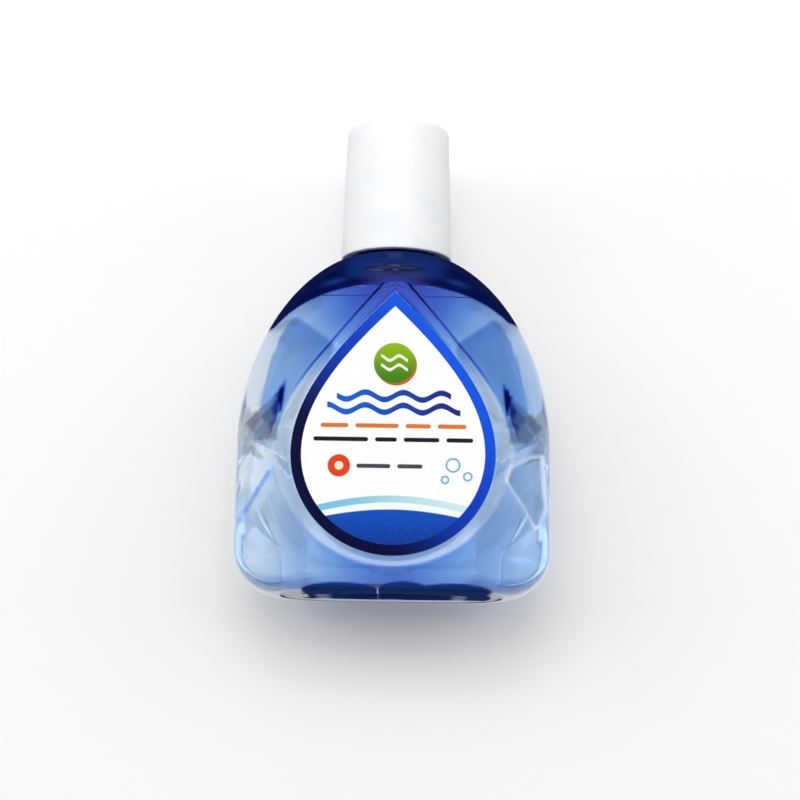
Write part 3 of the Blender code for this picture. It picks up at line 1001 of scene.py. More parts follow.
    def reach(self, angle: Array, z: Array, skin: Skin) -> Array:
        """Give a skin's reach from the Z axis.

        Args:
            angle: Directions, counted from +X, in radians.
            z: Heights, as many as there are directions.
            skin: The skin.

        Returns:
            The distances from the axis.
        """
        c, s = np.cos(angle), np.sin(angle)
        brow_edge = np.where(s > 0, *self.brow_edges)
        form = soft_min(self.oval(c, s, z, skin), self.cut(self.brow, c, s, z, skin), brow_edge)
        for facet in (self.cheek, self.kite):
            form = soft_min(form, self.cut(facet, c, s, z, skin), self.facet_edge)
        upper = self.cut(self.waist_upper, c, s, z, skin)
        lower = self.cut(self.waist_lower, c, s, z, skin)
        form = soft_min(form, soft_max(upper, lower, self.facet_edge), self.facet_edge)
        if skin.panels:
            raised = self.raised(c, s, z, skin)
            for face in skin.panels:
                form = np.where(np.sign(s) == face.value, soft_max(form, raised, self.panel_fillet), form)
        return form


@dataclass(frozen=True)
class Lobe:
    """A low, deep-coloured lobe at the foot.

    Attributes:
        middle: Its place across, in millimetres.
        half: Half its width.
        height: Its height.
    """

    middle: float
    half: float
    height: float


@dataclass(frozen=True)
class Amount:
    """An amount that sets in or fades out along a measure.

    Attributes:
        full: The whole amount.
        span: Where it sets in or fades out.
    """

    full: float
    span: Span

    def after(self, value: Array) -> Array:
        """Give nothing before the span and the whole amount after it."""
        return self.full * rise(value, self.span)

    def before(self, value: Array) -> Array:
        """Give the whole amount before the span and nothing after it."""
        return self.full * fall(value, self.span)


@dataclass(frozen=True)
class Mark:
    """A marked patch.

    Attributes:
        outline: Points (x, z) round it, in millimetres.
        amount: How strong it is, and how far off its outline it fades out.
    """

    outline: Spans
    amount: Amount

    def on(self, x: Array, level: Array) -> Array:
        """Give its strength at places across and up."""
        return self.amount.before(outline_distance(self.outline, x, level))


@dataclass(frozen=True)
class Spot:
    """A soft spot on both sides of the middle.

    Attributes:
        full: How strong it is in its middle.
        across: Its place across, in millimetres.
        level: Its height.
        wide: Half its width.
        tall: Half its height.
        slope: How far it falls for each millimetre outwards.
    """

    full: float
    across: float
    level: float
    wide: float
    tall: float
    slope: float = 0.0

    def on(self, across: Array, level: Array) -> Array:
        """Give its strength at places across and up."""
        height = bell(level + self.slope * (across - self.across), self.level, self.tall)
        return self.full * bell(across, self.across, self.wide) * height


@dataclass(frozen=True)
class Shading:
    """How the plastic's depth of colour, painted shade and painted light are drawn on the body, with places
    in millimetres.

    Attributes:
        form: The form of the body.
        high_tint: Depth of colour down the middle, just above the waist, partly painted shade.
        high_gain: How much deeper that gets towards the shoulder.
        high_levels: Where it sets in, upwards.
        high_width: Its half width.
        low_tint: Depth of colour down the middle, below the waist, partly painted shade.
        low_width: Its half width.
        plain_tint: Even depth of colour between the narrow sides.
        edge_tint: Tint of the lowest edge.
        edge_reach: Where that sets in, across.
        right_painted_shade: Painted shade that draws the right side deeper than the left.
        right_loss: The share of that which is lost higher up.
        facet_fade: How far off a facet its painted shade fades out.
        groove_painted_shade: A line of painted shade at the lower left.
        wall_painted_shade: Painted shade in a line along the upper walls of the front panel, by height over
            the plain body.
        wall_end: Height over the plain body where that line ends.
        wall_levels: Where it sets in, upwards.
        painted_light_start: Height over the plain body where painted light turns the front panel pale.
        painted_light_loss: The share of that painted light that is lost higher up.
        wedge_painted_shade: The wedges of painted shade beside the panel.
        shoulder_tint_and_shade: Depth of colour of the shoulder, partly thicker plastic and partly painted
            shade.
        shoulder_middle: Height of the shoulder's lower edge in the middle.
        shoulder_sag: How much lower that edge is at the sag's width.
        shoulder_sag_width: The place across for that.
        shoulder_sag_power: How sharply it bends down.
        shoulder_ends: The lowest it gets, on the right and on the left.
        shoulder_lift: How much higher it is at the rear, by the sine of the direction.
        shoulder_fade: How far off the edge the tint sets in.
        painted_relief: How much paler painted light makes the shoulder in its middle.
        painted_relief_loss: The share of that which is lost under the neck's ring.
        lobes: The lobes along the foot, deep-coloured partly by thicker plastic and partly by painted shade.
        lobe_fade: How far over them their colour fades out.
        foot_tint: Tint under the foot.
        foot_gain: How much deeper that is in the middle.
        foot_width: Half width of that.
        foot_level: Height at which the lobes are met under the foot.
        foot_back: Where the lobes fade out under the foot, from front to back.
        painted_swirl: The place across and the half width of the pale painted light in each outer lobe.
        swirl_loss: The share of a lobe's colour that it takes, from front to back.
        back_painted_shadow: Painted shadow at the foot's back edge, as a share of the shoulder's colour, by
            shares of the foot's rim.
        waist: The painted shade on the waist facets.
        cheek_painted_shade: The share of painted shade on the cheeks.
        bubble: The bubble at the lower right, and the painted shade on the wall over it.
        foot_painted_light: The painted light at the foot.
        collar_painted_light: The painted light on the collar.
        collar_levels: Where it sets in, upwards.
        painted_sheen: The two painted sheens on the shoulder.
        open_share: The share of light that passes straight on in the corners.
        low_reach: Where the low corners set in, across.
        low_corners: Where they fade out, upwards.
        top_reach: Where the high corners set in, across.
        top_corners: Where they set in, upwards.
        open_waist: The spot on the waist that is open too.
    """

    form: BodyForm = BodyForm()
    high_tint: float = 0.3
    high_gain: Amount = Amount(3.7, (25.0, 38.0))
    high_levels: Span = (20.0, 28.0)
    high_width: float = 8.8
    low_tint: Amount = Amount(1.85, (10.0, 20.0))
    low_width: float = 8.5
    plain_tint: Amount = Amount(0.08, (11.0, 15.0))
    edge_tint: Amount = Amount(0.8, (0.8, 1.7))
    edge_reach: Span = (7.0, 9.0)
    right_painted_shade: Amount = Amount(0.46, (2.0, 15.0))
    right_loss: Amount = Amount(0.5, (26.0, 32.0))
    facet_fade: Span = (0.012, 0.06)
    groove_painted_shade: Mark = Mark(((14.5, 13.6), (18.0, 8.0), (17.85, 7.9), (14.35, 13.5)), Amount(1.3, (0.02, 0.25)))
    wall_painted_shade: Amount = Amount(4.0, (0.0, 0.1))
    wall_end: Span = (0.2, 0.45)
    wall_levels: Span = (22.0, 27.0)
    painted_light_start: Span = (0.02, 0.3)
    painted_light_loss: Amount = Amount(0.8, (23.0, 29.0))
    wedge_painted_shade: Mark = Mark(((12.9, 24.4), (13.8, 22.8), (13.3, 20.6), (12.9, 22.0)), Amount(5.5, (-0.15, 0.15)))
    shoulder_tint_and_shade: float = 7.5
    shoulder_middle: float = 36.4
    shoulder_sag: float = 3.4
    shoulder_sag_width: float = 12.5
    shoulder_sag_power: float = 2.7
    shoulder_ends: Span = (32.2, 31.3)
    shoulder_lift: Amount = Amount(1.6, (-0.1, 0.4))
    shoulder_fade: Span = (-0.15, 0.25)
    painted_relief: Amount = Amount(2.5, (1.5, 6.5))
    painted_relief_loss: Amount = Amount(0.5, (38.9, 39.3))
    lobes: tuple[Lobe, ...] = (Lobe(-6.0, 4.4, 0.72), Lobe(1.4, 2.9, 0.9), Lobe(7.3, 4.4, 0.75))
    lobe_fade: Span = (-0.1, 0.15)
    foot_tint: float = 1.3
    foot_gain: float = 0.6
    foot_width: float = 6.0
    foot_level: float = 0.1
    foot_back: Span = (3.4, 4.4)
    painted_swirl: Span = (8.0, 1.5)
    swirl_loss: Amount = Amount(0.5, (-4.0, -1.0))
    back_painted_shadow: Amount = Amount(0.8, (0.88, 0.97))
    waist: Mark = Mark(((13.3, 23.4), (17.6, 19.6), (15.8, 17.5), (13.5, 17.2)), Amount(0.47, (-0.2, 0.12)))
    cheek_painted_shade: float = 0.10
    bubble: Mark = Mark(
        ((15.9, 15.9), (13.7, 14.5), (13.0, 13.0), (15.2, 10.1), (16.6, 7.7))
        + ((17.2, 8.2), (17.6, 10.2), (17.4, 13.0), (17.2, 16.2)),
        Amount(0.2, (-0.2, 0.1)),
    )
    foot_painted_light: Amount = Amount(1.0, (0.4, 1.2))
    collar_painted_light: Amount = Amount(0.17, (4.5, 7.0))
    collar_levels: Span = (36.8, 37.8)
    painted_sheen: Spot = Spot(0.28, 7.3, 36.9, 1.3, 0.35, 0.25)
    open_share: float = 0.9
    low_reach: Span = (8.5, 11.0)
    low_corners: Span = (9.0, 13.0)
    top_reach: Span = (8.0, 10.5)
    top_corners: Span = (30.5, 32.5)
    open_waist: Spot = Spot(1.0, 15.6, 17.4, 1.2, 1.0)

    def tint_and_shade(self, angle: Array, z: Array, reach: Array, plain: Array) -> Array:
        """Give the depth of colour on the walls, the shoulder and the foot's lobes, with painted shade in it,
        0 where the wall is thinnest.

        Args:
            angle: Directions, counted from +X, in radians.
            z: Heights, as many as there are directions.
            reach: The distances of the outer surface from the axis.
            plain: The same without the panels and the collar.

        Returns:
            The depth of colour, with painted shade.
        """
        x, level = reach * np.cos(angle) / MM, z / MM
        across = np.abs(x)
        # Deeper down the middle: partly painted shade.
        high = (self.high_tint + self.high_gain.after(level)) * bell(across, 0.0, self.high_width)
        low = self.low_tint.before(level) * bell(across, 0.0, self.low_width)
        tint_and_shade = high * rise(level, self.high_levels) + low + self.plain_tint.before(across)
        for facet in (self.form.cheek, self.form.kite, self.form.waist_upper):
            tint_and_shade += facet.tint_and_shade * self.on_facet(facet, angle, z, plain)
        tint_and_shade += self.edge_tint.before(level) * rise(across, self.edge_reach)
        # Painted shade: the right side drawn deeper than the left, and a line of it at the lower left.
        tint_and_shade += self.right_painted_shade.after(x) * (1 - self.right_loss.after(level)) + self.groove_painted_shade.on(-x, level)
        raised = (reach - plain) / MM
        # Painted shade in a line along the front panel's upper walls.
        wall = self.wall_painted_shade.after(raised) * fall(raised, self.wall_end) * rise(level, self.wall_levels)
        # Painted light turns the front panel pale, less so higher up.
        pale = rise(raised, self.painted_light_start) * (1 - self.painted_light_loss.after(level))
        # Painted shade in the wedges beside the panel.
        tint_and_shade = np.where(np.sin(angle) < 0, tint_and_shade * (1 - pale) + wall, tint_and_shade) + self.wedge_painted_shade.on(across, level)
        # Shoulder and foot lobes: deep colour, partly painted shade, with painted light paling the shoulder's
        # middle.
        shoulder = self.on_shoulder(angle, across, level)
        painted_relief = self.painted_relief.before(across) * (1 - self.painted_relief_loss.after(level))
        deep = np.maximum(shoulder, self.on_lobes(x, level))
        return tint_and_shade * (1 - deep) + (self.shoulder_tint_and_shade - painted_relief * shoulder) * deep

    def on_shoulder(self, angle: Array, across: Array, level: Array) -> Array:
        """Mask the shoulder over its wavy lower edge.

        Args:
            angle: Directions, counted from +X, in radians.
            across: Places across.
            level: Heights.

        Returns:
            1 on the shoulder and 0 below it.
        """
        sag = self.shoulder_sag * (across / self.shoulder_sag_width) ** self.shoulder_sag_power
        edge = np.maximum(self.shoulder_middle - sag, np.where(np.cos(angle) > 0, *self.shoulder_ends))
        return rise(level - edge - self.shoulder_lift.after(np.sin(angle)), self.shoulder_fade)

    def on_lobes(self, x: Array, level: Array) -> Array:
        """Mask the lobes along the foot.

        Args:
            x: Places across.
            level: Heights.

        Returns:
            1 in a lobe and 0 over them.
        """
        top = np.full(x.shape, -1.0)
        for lobe in self.lobes:
            share = np.abs(x - lobe.middle) / lobe.half
            bulge = lobe.height * np.sqrt(np.clip(1 - share**2, 0.0, None))
            top = np.maximum(top, np.where(share < 1, bulge, -1.0))
        return fall(level - top, self.lobe_fade)

    def on_facet(self, facet: Facet, angle: Array, z: Array, plain: Array) -> Array:
        """Mask a facet of the front, on the body without its panels."""
        away = (self.form.cut(facet, np.cos(angle), np.sin(angle), z, Skin()) - plain) / MM
        return fall(np.abs(away), self.facet_fade) * (np.sin(angle) < 0)

    def under_foot(self, ring: Array, share: float) -> Array:
        """Give the depth of colour on a ring of the foot, with deep lobes, a pale patch of painted light in
        them and a line of painted shadow at its back edge.

        Args:
            ring: Points on the ring.
            share: Its size, as a share of the foot's rim.

        Returns:
            The depth of colour at each point.
        """
        x, y = ring[:, 0] / MM, ring[:, 1] / MM
        # Painted light in a pale patch in the outer lobes, and painted shadow in a line at the back edge.
        painted_swirl = self.swirl_loss.after(y) * bell(np.abs(x), *self.painted_swirl)
        lobes = self.on_lobes(x, np.full(len(x), self.foot_level)) * fall(y, self.foot_back) * (1 - painted_swirl)
        line = self.back_painted_shadow.after(np.full(len(x), share)) * (y > 0)
        middle = self.foot_gain * bell(x, 0.0, self.foot_width)
        return self.foot_tint + middle + self.shoulder_tint_and_shade * np.maximum(lobes, line)

    def painted_shade(self, angle: Array, z: Array, reach: Array, plain: Array) -> Array:
        """Give the share of painted shade on the waist, the cheeks and the wall over the bubble.

        Args:
            angle: Directions, counted from +X, in radians.
            z: Heights, as many as there are directions.
            reach: The distances of the outer surface from the axis.
            plain: The same without the panels and the collar.

        Returns:
            The share of painted shade.
        """
        x, level = reach * np.cos(angle) / MM, z / MM
        # Painted shade on the cheeks, the waist and the wall over the bubble.
        cheek = self.cheek_painted_shade * self.on_facet(self.form.cheek, angle, z, plain)
        bubble = self.bubble.on(x, level) * (np.sin(angle) < 0)
        return np.maximum(np.maximum(self.waist.on(np.abs(x), level), cheek), bubble)

    def lit(self, ring: Array) -> Array:
        """Give the painted light on a ring's deep-coloured parts: at the foot, the collar and two painted
        sheens.

        Args:
            ring: Points on the ring.

        Returns:
            The share of painted light at each point.
        """
        across, level = np.abs(ring[:, 0]) / MM, ring[:, 2] / MM
        # Painted light at the foot and on the collar, and two painted sheens on the shoulder.
        collar = self.collar_painted_light.before(across) * rise(level, self.collar_levels)
        return np.maximum(np.maximum(self.foot_painted_light.before(level), collar), self.painted_sheen.on(across, level))

    def corners(self, ring: Array) -> Array:
        """Give the share of light that passes straight on through a ring inside the wall.

        Args:
            ring: Points on the ring.

        Returns:
            The share at each point, highest in the corners.
        """
        across, level = np.abs(ring[:, 0]) / MM, ring[:, 2] / MM
        low = rise(across, self.low_reach) * fall(level, self.low_corners)
        high = rise(across, self.top_reach) * rise(level, self.top_corners)
        return self.open_share * np.maximum(np.maximum(low, high), self.open_waist.on(across, level))


def ring_columns(dense: int, sparse: int) -> Array:
    """Spread directions round the Z axis, closest together on the front and the back.

    Args:
        dense: Directions from the middle of a face to its sides, in each quarter.
        sparse: Directions from there to the side of the body, in each quarter.

    Returns:
        The angles from +X, in radians, once round.
    """
    split = math.radians(71)
    sides = np.linspace(split, math.pi / 2, sparse, False)
    quarter = np.concatenate([np.linspace(0.0, split, dense, False), sides])
    front = np.concatenate([-math.pi / 2 + quarter, [0.0], math.pi / 2 - quarter[:0:-1]])
    return np.concatenate([front, front + math.pi])


def corner_levels(low: float, high: float, count: int) -> Array:
    """Choose heights round the lower corner of a skin, closest together at the bottom."""
    return low + (high - low) * (1 - np.cos(np.linspace(0, math.pi / 2, count, False)))


def run_levels(stops: tuple[float, ...], steps: tuple[float, ...]) -> list[Array]:
    """Choose heights from stop to stop, with a step of their own between each two."""
    return [np.arange(a, b, step) for a, b, step in zip(stops, stops[1:], steps)]


def lay_ring(angles: Array, level: float, radius: Array | float) -> Array:
    """Lay a ring of points at a height, with a reach for each direction."""
    reach = radius * np.ones(len(angles))
    return np.stack([reach * np.cos(angles), reach * np.sin(angles), np.full(len(angles), level)], axis=-1)


def lay_rings(angles: Array, levels: Array, reaches: Array) -> Rows:
    """Lay a ring at each height, by the reach in each direction there."""
    return [lay_ring(angles, level, row) for level, row in zip(levels, reaches)]


def skin_mesh(name: str, rows: Rows, values: dict[str, Rows] | None = None) -> bpy.types.Object:
    """Skin a row of rings, each with as many points, and close both ends on their middle.

    Args:
        name: The object's name.
        rows: The rings, each an array of points (x, y, z).
        values: Values that the mesh keeps, by name, each at each point of each ring.

    Returns:
        The closed mesh.
    """
    count = len(rows[0])
    points = np.concatenate([*rows, rows[0].mean(axis=0)[None], rows[-1].mean(axis=0)[None]])
    column = np.arange(count)
    after = (column + 1) % count
    starts = (np.arange(len(rows) - 1) * count)[:, None]
    quads = np.stack([starts + ends for ends in (column, after, count + after, count + column)], axis=-1)
    last = (len(rows) - 1) * count
    first_hub, last_hub = len(points) - 2, len(points) - 1
    fans = [(first_hub, b, a) for a, b in zip(column, after)]
    fans += [(last_hub, last + a, last + b) for a, b in zip(column, after)]
    mesh = bpy.data.meshes.new(name)
    faces = quads.reshape(-1, 4).tolist() + [tuple(int(v) for v in fan) for fan in fans]
    mesh.from_pydata(points.tolist(), [], faces)
    mesh.shade_smooth()
    for kept, rings in (values or {}).items():
        flat = np.concatenate([*rings, rings[0][:1], rings[-1][:1]]).astype(np.float32)
        mesh.attributes.new(kept, "FLOAT", "POINT").data.foreach_set("value", flat)
    return placed(name, mesh)


def turned(name: str, profile: Profile, steps: int) -> bpy.types.Object:
    """Turn a profile about the Z axis.

    Args:
        name: The object's name.
        profile: Points (radius, height), run from the top down the outer side.
        steps: How many steps the turn has.

    Returns:
        The turned object.
    """
    bm = bmesh.new()
    points = [bm.verts.new((radius, 0.0, height)) for radius, height in profile]
    for first, second in zip(points, points[1:]):
        bm.edges.new((first, second))
    mesh = bpy.data.meshes.new(name)
    bm.to_mesh(mesh)
    bm.free()
    obj = placed(name, mesh)
    screw = obj.modifiers.new("turn", "SCREW")
    screw.steps = steps
    screw.render_steps = steps
    screw.use_merge_vertices = True
    screw.merge_threshold = WELD
    settle(obj)
    return obj


def polish(obj: bpy.types.Object) -> None:
    """Shade an object smooth, but for its sharp edges."""
    obj.data.shade_smooth()
    obj.data.set_sharp_from_angle(angle=SHARP_ANGLE)


def rounded(profile: Profile, radii: dict[int, float], steps: int = 5) -> Profile:
    """Round some corners of a profile.

    Args:
        profile: Points (radius, height).
        radii: For the number of a point, how far from it its rounding starts.
        steps: Points on each rounding, less one.

    Returns:
        The profile with those corners replaced by curves.
    """
    result: Profile = []
    for number, point in enumerate(profile):
        reach = radii.get(number, 0.0)
        if not reach:
            result.append(point)
            continue
        corner = Vector(point)
        before = (Vector(profile[number - 1]) - corner).normalized() * reach + corner
        after = (Vector(profile[number + 1]) - corner).normalized() * reach + corner
        for k in range(steps + 1):
            t = k / steps
            curve = (1 - t) ** 2 * before + 2 * t * (1 - t) * corner + t * t * after
            result.append((curve.x, curve.y))
    return result


def dress(obj: bpy.types.Object, *materials: bpy.types.Material) -> None:
    """Give an object its materials.

    Args:
        obj: The object.
        *materials: The materials, in the order of its slots.
    """
    for material in materials:
        obj.data.materials.append(material)


@dataclass(frozen=True)
class Thread:
    """A screw thread.

    Attributes:
        start: Height of its start over the foot of what carries it.
        pitch: Rise in a turn.
        turns: How many turns it has.
        depth: How far it stands out.
        run_out: How much of a turn it takes to run out at its ends, where it is moulded on a neck.
        end_share: Its depth at its very ends, as a share, where it is a ridge of its own.
        swell: How fast that ridge swells to its depth.
        steps: Steps in a turn of it.
    """

    start: float
    pitch: float
    turns: float
    depth: float
    run_out: float = 0.05
    end_share: float = 0.35
    swell: float = 8.0
    steps: int = 56

    def height(self, angles: Array, level: float) -> Array:
        """Give how far it stands out in each direction.

        Args:
            angles: The directions, counted from +X, in radians.
            level: A height over the foot of what carries it.

        Returns:
            The heights over the neck.
        """
        height = np.zeros(len(angles))
        turned_share = np.mod(angles, 2 * math.pi) / (2 * math.pi)
        for lap in range(math.ceil(self.turns)):
            along = turned_share + lap
            away = (level - self.start - self.pitch * along) / self.depth
            fade = np.clip(np.minimum(along, self.turns - along) / self.run_out, 0.0, 1.0)
            height = np.maximum(height, self.depth * fade * np.sqrt(np.clip(1 - away**2, 0.0, 1.0)))
        return height

    def ridge(self, name: str, radius: float, foot: float) -> bpy.types.Object:
        """Make it as a ridge: a round rod on a helix whose ends run out.

        Args:
            name: The object's name.
            radius: Radius of the helix.
            foot: Height of the foot of what carries it.

        Returns:
            The ridge as a closed mesh.
        """
        count = round(self.turns * self.steps)
        curve = bpy.data.curves.new(name, "CURVE")
        curve.dimensions = "3D"
        curve.bevel_depth = self.depth
        curve.bevel_resolution = 3
        curve.use_fill_caps = True
        spline = curve.splines.new("POLY")
        spline.points.add(count)
        for k, point in enumerate(spline.points):
            angle = 2 * math.pi * k / self.steps
            height = foot + self.start + self.pitch * k / self.steps
            point.co = (radius * math.cos(angle), radius * math.sin(angle), height, 1.0)
            point.radius = min(1.0, self.end_share + self.swell * min(k, count - k) / count)
        rod = placed(name, curve)
        mesh = final_mesh(rod)
        bm = bmesh.new()
        bm.from_mesh(mesh)
        bmesh.ops.remove_doubles(bm, verts=bm.verts, dist=WELD)
        bmesh.ops.recalc_face_normals(bm, faces=bm.faces)
        bm.to_mesh(mesh)
        bm.free()
        bpy.data.objects.remove(rod)
        return placed(name, mesh)


@dataclass
class Shell:
    """The blow-moulded bottle: its body, its threaded neck and its hollow foot, as one closed skin.

    Attributes:
        form: The form of the body.
        shading: How its depth of colour, painted shade and painted light are drawn.
        inside: Where its inner surface lies.
        push_up_width: Width of the hollow under its foot.
        push_up_depth: Depth of that hollow from front to back.
        push_up_rise: Its height.
        push_up_power: How steep its edge is.
        ring_radius: Radius of the collar under the cap.
        ring_height: Height of the collar.
        ring_flare: How much wider the collar is at its foot.
        ring_fillet: Filling between the collar and the shoulder.
        neck_radius: Outer radius of the neck.
        neck_edge: Rounding of the neck's edges.
        bore_radius: Inner radius of the neck.
        thread: The thread on the neck.
        neck_tint_and_shade: Depth of colour of the neck, partly painted shade under the cap.
        foot_painted_shade: The share of painted shade on the foot.
        columns: Directions in each quarter, on the broad face and on the narrow side.
        corner_rings: Rings round the lower corner, outside and inside.
        fine: Step between rings at the ends of the panels.
        middling: Step between them along the panels.
        coarse: Step between them inside.
        tip_stops: Where the finer rings end and start again, over the panel's foot and from its tip.
        foot_shares: Sizes of the foot's rings, as shares of its rim.
        floor_shares: Sizes of the rings on the floor inside, as shares of its rim.
        wall_softness: How much of the lean of the panels' walls isn't shaded, in front and at the rear.
        wall_lean: How much they have to lean for that.
        finish: The plastic it is made of.
    """

    form: BodyForm = BodyForm()
    shading: Shading = Shading()
    inside: Skin = Skin(0.8 * MM, 1.1 * MM, 1.1 * MM, ())
    push_up_width: float = 17.0 * MM
    push_up_depth: float = 7.6 * MM
    push_up_rise: float = 1.0 * MM
    push_up_power: float = 0.6
    ring_radius: float = 6.3 * MM
    ring_height: float = 1.4 * MM
    ring_flare: float = 0.6 * MM
    ring_fillet: float = 0.9 * MM
    neck_radius: float = 4.75 * MM
    neck_edge: float = 0.15 * MM
    bore_radius: float = 3.8 * MM
    thread: Thread = Thread(2.2 * MM, 2.6 * MM, 1.6, 0.5 * MM)
    neck_tint_and_shade: float = 5.2
    foot_painted_shade: float = 0.3
    columns: tuple[int, int] = (71, 11)
    corner_rings: tuple[int, int] = (14, 8)
    fine: float = 0.15 * MM
    middling: float = 0.31 * MM
    coarse: float = 0.6 * MM
    tip_stops: tuple[float, float, float] = (1.2 * MM, -2.0 * MM, 1.0 * MM)
    foot_shares: tuple[float, ...] = tuple(0.06 + 0.92 * k / 14 for k in range(15))
    floor_shares: tuple[float, ...] = (0.85, 0.7, 0.55, 0.4, 0.25, 0.1)
    wall_softness: Span = (0.75, 1.0)
    wall_lean: Span = (0.0, 0.12)
    finish: ClearBluePlastic = ClearBluePlastic()

    def outer_levels(self) -> Array:
        """Choose the heights of the outer rings, closest at the ends of the panels.

        Returns:
            The heights, from the foot up.
        """
        form, panel = self.form, self.form.panel
        over_foot, under_tip, over_tip = self.tip_stops
        foot, tip = panel.middle - panel.radius, panel.middle + panel.rise
        stops = (form.face_corner, foot + over_foot, tip + under_tip, tip + over_tip, form.shoulder_top)
        runs = run_levels(stops, (self.fine, self.middling, self.fine, 1.5 * self.fine))
        return np.concatenate([corner_levels(0.0, form.face_corner, self.corner_rings[0]), *runs])

    def outer_reach(self, turn: Array, height: Array, panels: tuple[Face, ...]) -> Array:
        """Find the reach of the outer surface, with the collar under the cap.

        Args:
            turn: Directions, counted from +X, in radians.
            height: Heights, as many as there are directions.
            panels: The faces that have a panel.

        Returns:
            The distances from the axis.
        """
        reach = self.form.reach(turn, height, Skin(panels=panels))
        ring_base = self.form.shoulder_top - self.ring_height
        flare = np.clip((ring_base - height) / self.ring_flare, 0.0, 6.0)
        drop = np.clip(flare - 1, 0.0, None) * 2
        collar = self.ring_radius + self.ring_flare * (np.clip(flare, 0.0, 1.0) - drop)
        return soft_max(reach, collar, self.ring_fillet)

    def foot(self, rim: Array) -> Rows:
        """Lay the foot's rings, with the hollow under it.

        Args:
            rim: The ring round the foot.

        Returns:
            The rings, from the middle to the rim.
        """
        rows = []
        for share in self.foot_shares:
            ring = rim * share
            x, y = ring[:, 0] / (self.push_up_width / 2), ring[:, 1] / (self.push_up_depth / 2)
            ring[:, 2] = self.push_up_rise * np.clip(1 - x**2 - y**2, 0.0, 1.0) ** self.push_up_power
            rows.append(ring)
        return rows

    def neck(self, angles: Array, top: float) -> Rows:
        """Lay the rings of the neck with its thread, then of its lip.

        Args:
            angles: The directions.
            top: Height of the neck's top.

        Returns:
            The rings, from the shoulder's top to the edge of the bore.
        """
        start, edge = self.form.shoulder_top, self.neck_edge
        rows = [lay_ring(angles, start, self.ring_radius - edge)]
        rows.append(lay_ring(angles, start, self.neck_radius + edge))
        for level in np.arange(start + edge, top - edge, self.middling):
            rows.append(lay_ring(angles, level, self.neck_radius + self.thread.height(angles, level - start)))
        rows.append(lay_ring(angles, top - edge, self.neck_radius))
        rows.append(lay_ring(angles, top, self.neck_radius - edge))
        return rows + [lay_ring(angles, top, self.bore_radius + edge)]

    def hollow(self, angles: Array, top: float) -> Rows:
        """Lay the rings of the inner surface.

        Args:
            angles: The directions.
            top: Height of the neck's top.

        Returns:
            The rings, down the bore and the walls to the middle of the floor.
        """
        form, floor = self.form, self.inside.floor
        low = corner_levels(floor, form.face_corner, self.corner_rings[1])
        levels = np.concatenate([low, np.arange(form.face_corner, form.shoulder_top, self.coarse)])
        reach = form.reach(*np.meshgrid(angles, levels), self.inside)
        reach = soft_max(reach, np.full(reach.shape, self.bore_radius), self.ring_fillet)
        bore = np.arange(top - self.neck_edge, form.shoulder_top, -2 * self.coarse)
        rows = [lay_ring(angles, level, self.bore_radius) for level in bore]
        rows += lay_rings(angles, levels[::-1], reach[::-1])
        return rows + [lay_ring(angles, floor, reach[0] * share) for share in self.floor_shares]

    def soften(self, mesh: bpy.types.Mesh, plain: bpy.types.Mesh) -> None:
        """Shade the steep walls of the panels as if they leaned less, so that they stay pale.

        Args:
            mesh: The shell's mesh.
            plain: The same mesh without panels.
        """
        normals, level = (np.zeros(3 * len(mesh.vertices), dtype=np.float32) for _ in range(2))
        mesh.vertex_normals.foreach_get("vector", normals)
        plain.vertex_normals.foreach_get("vector", level)
        normals, level = normals.reshape(-1, 3), level.reshape(-1, 3)
        lean = np.abs(level[:, 1]) - np.abs(normals[:, 1])
        softness = np.where(normals[:, 1] < 0, *self.wall_softness) * rise(lean, self.wall_lean)
        normals = normals + softness[:, None] * (level - normals)
        normals /= np.linalg.norm(normals, axis=1)[:, None]
        mesh.normals_split_custom_set_from_vertices(normals.tolist())

    def build(self) -> bpy.types.Object:
        """Build the shell.

        Returns:
            The shell.
        """
        _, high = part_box("bottle_body")
        angles, levels = ring_columns(*self.columns), self.outer_levels()
        turn, height = np.meshgrid(angles, levels)
        reach = self.outer_reach(turn, height, tuple(Face))
        plain = self.form.reach(turn, height, Skin(panels=()))
        outside = lay_rings(angles, levels, reach)
        foot, neck, hollow = self.foot(outside[0]), self.neck(angles, high.z), self.hollow(angles, high.z)
        rows = [*foot, *outside, *neck, *hollow]
        bare = np.zeros(len(angles))
        # Mesh values: depth of colour with painted shade, painted shade alone, straight-through corners and
        # painted light.
        tints_and_shades = [self.shading.under_foot(ring, share) for ring, share in zip(foot, self.foot_shares)]
        tints_and_shades += [*self.shading.tint_and_shade(turn, height, reach, plain)]
        tints_and_shades += [bare + self.neck_tint_and_shade] * len(neck) + [bare] * len(hollow)
        painted_shades = [bare + self.foot_painted_shade] * len(foot) + [*self.shading.painted_shade(turn, height, reach, plain)]
        painted_shades += [bare] * (len(neck) + len(hollow))
        opens = [bare] * (len(rows) - len(hollow)) + [self.shading.corners(ring) for ring in hollow]
        # Painted light on the deep-coloured parts.
        lights = [self.shading.lit(ring) for ring in rows]
        shell = skin_mesh("bottle_shell", rows, {"tint_and_shade": tints_and_shades, "painted_shade": painted_shades, "open": opens, "lit": lights})
        smooth = lay_rings(angles, levels, self.outer_reach(turn, height, ()))
        bald = skin_mesh("plain shell", [*foot, *smooth, *neck, *hollow])
        self.soften(shell.data, bald.data)
        bpy.data.objects.remove(bald)
        dress(shell, self.finish.make())
        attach(shell, "bottle")
        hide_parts("bottle_body")
        return shell


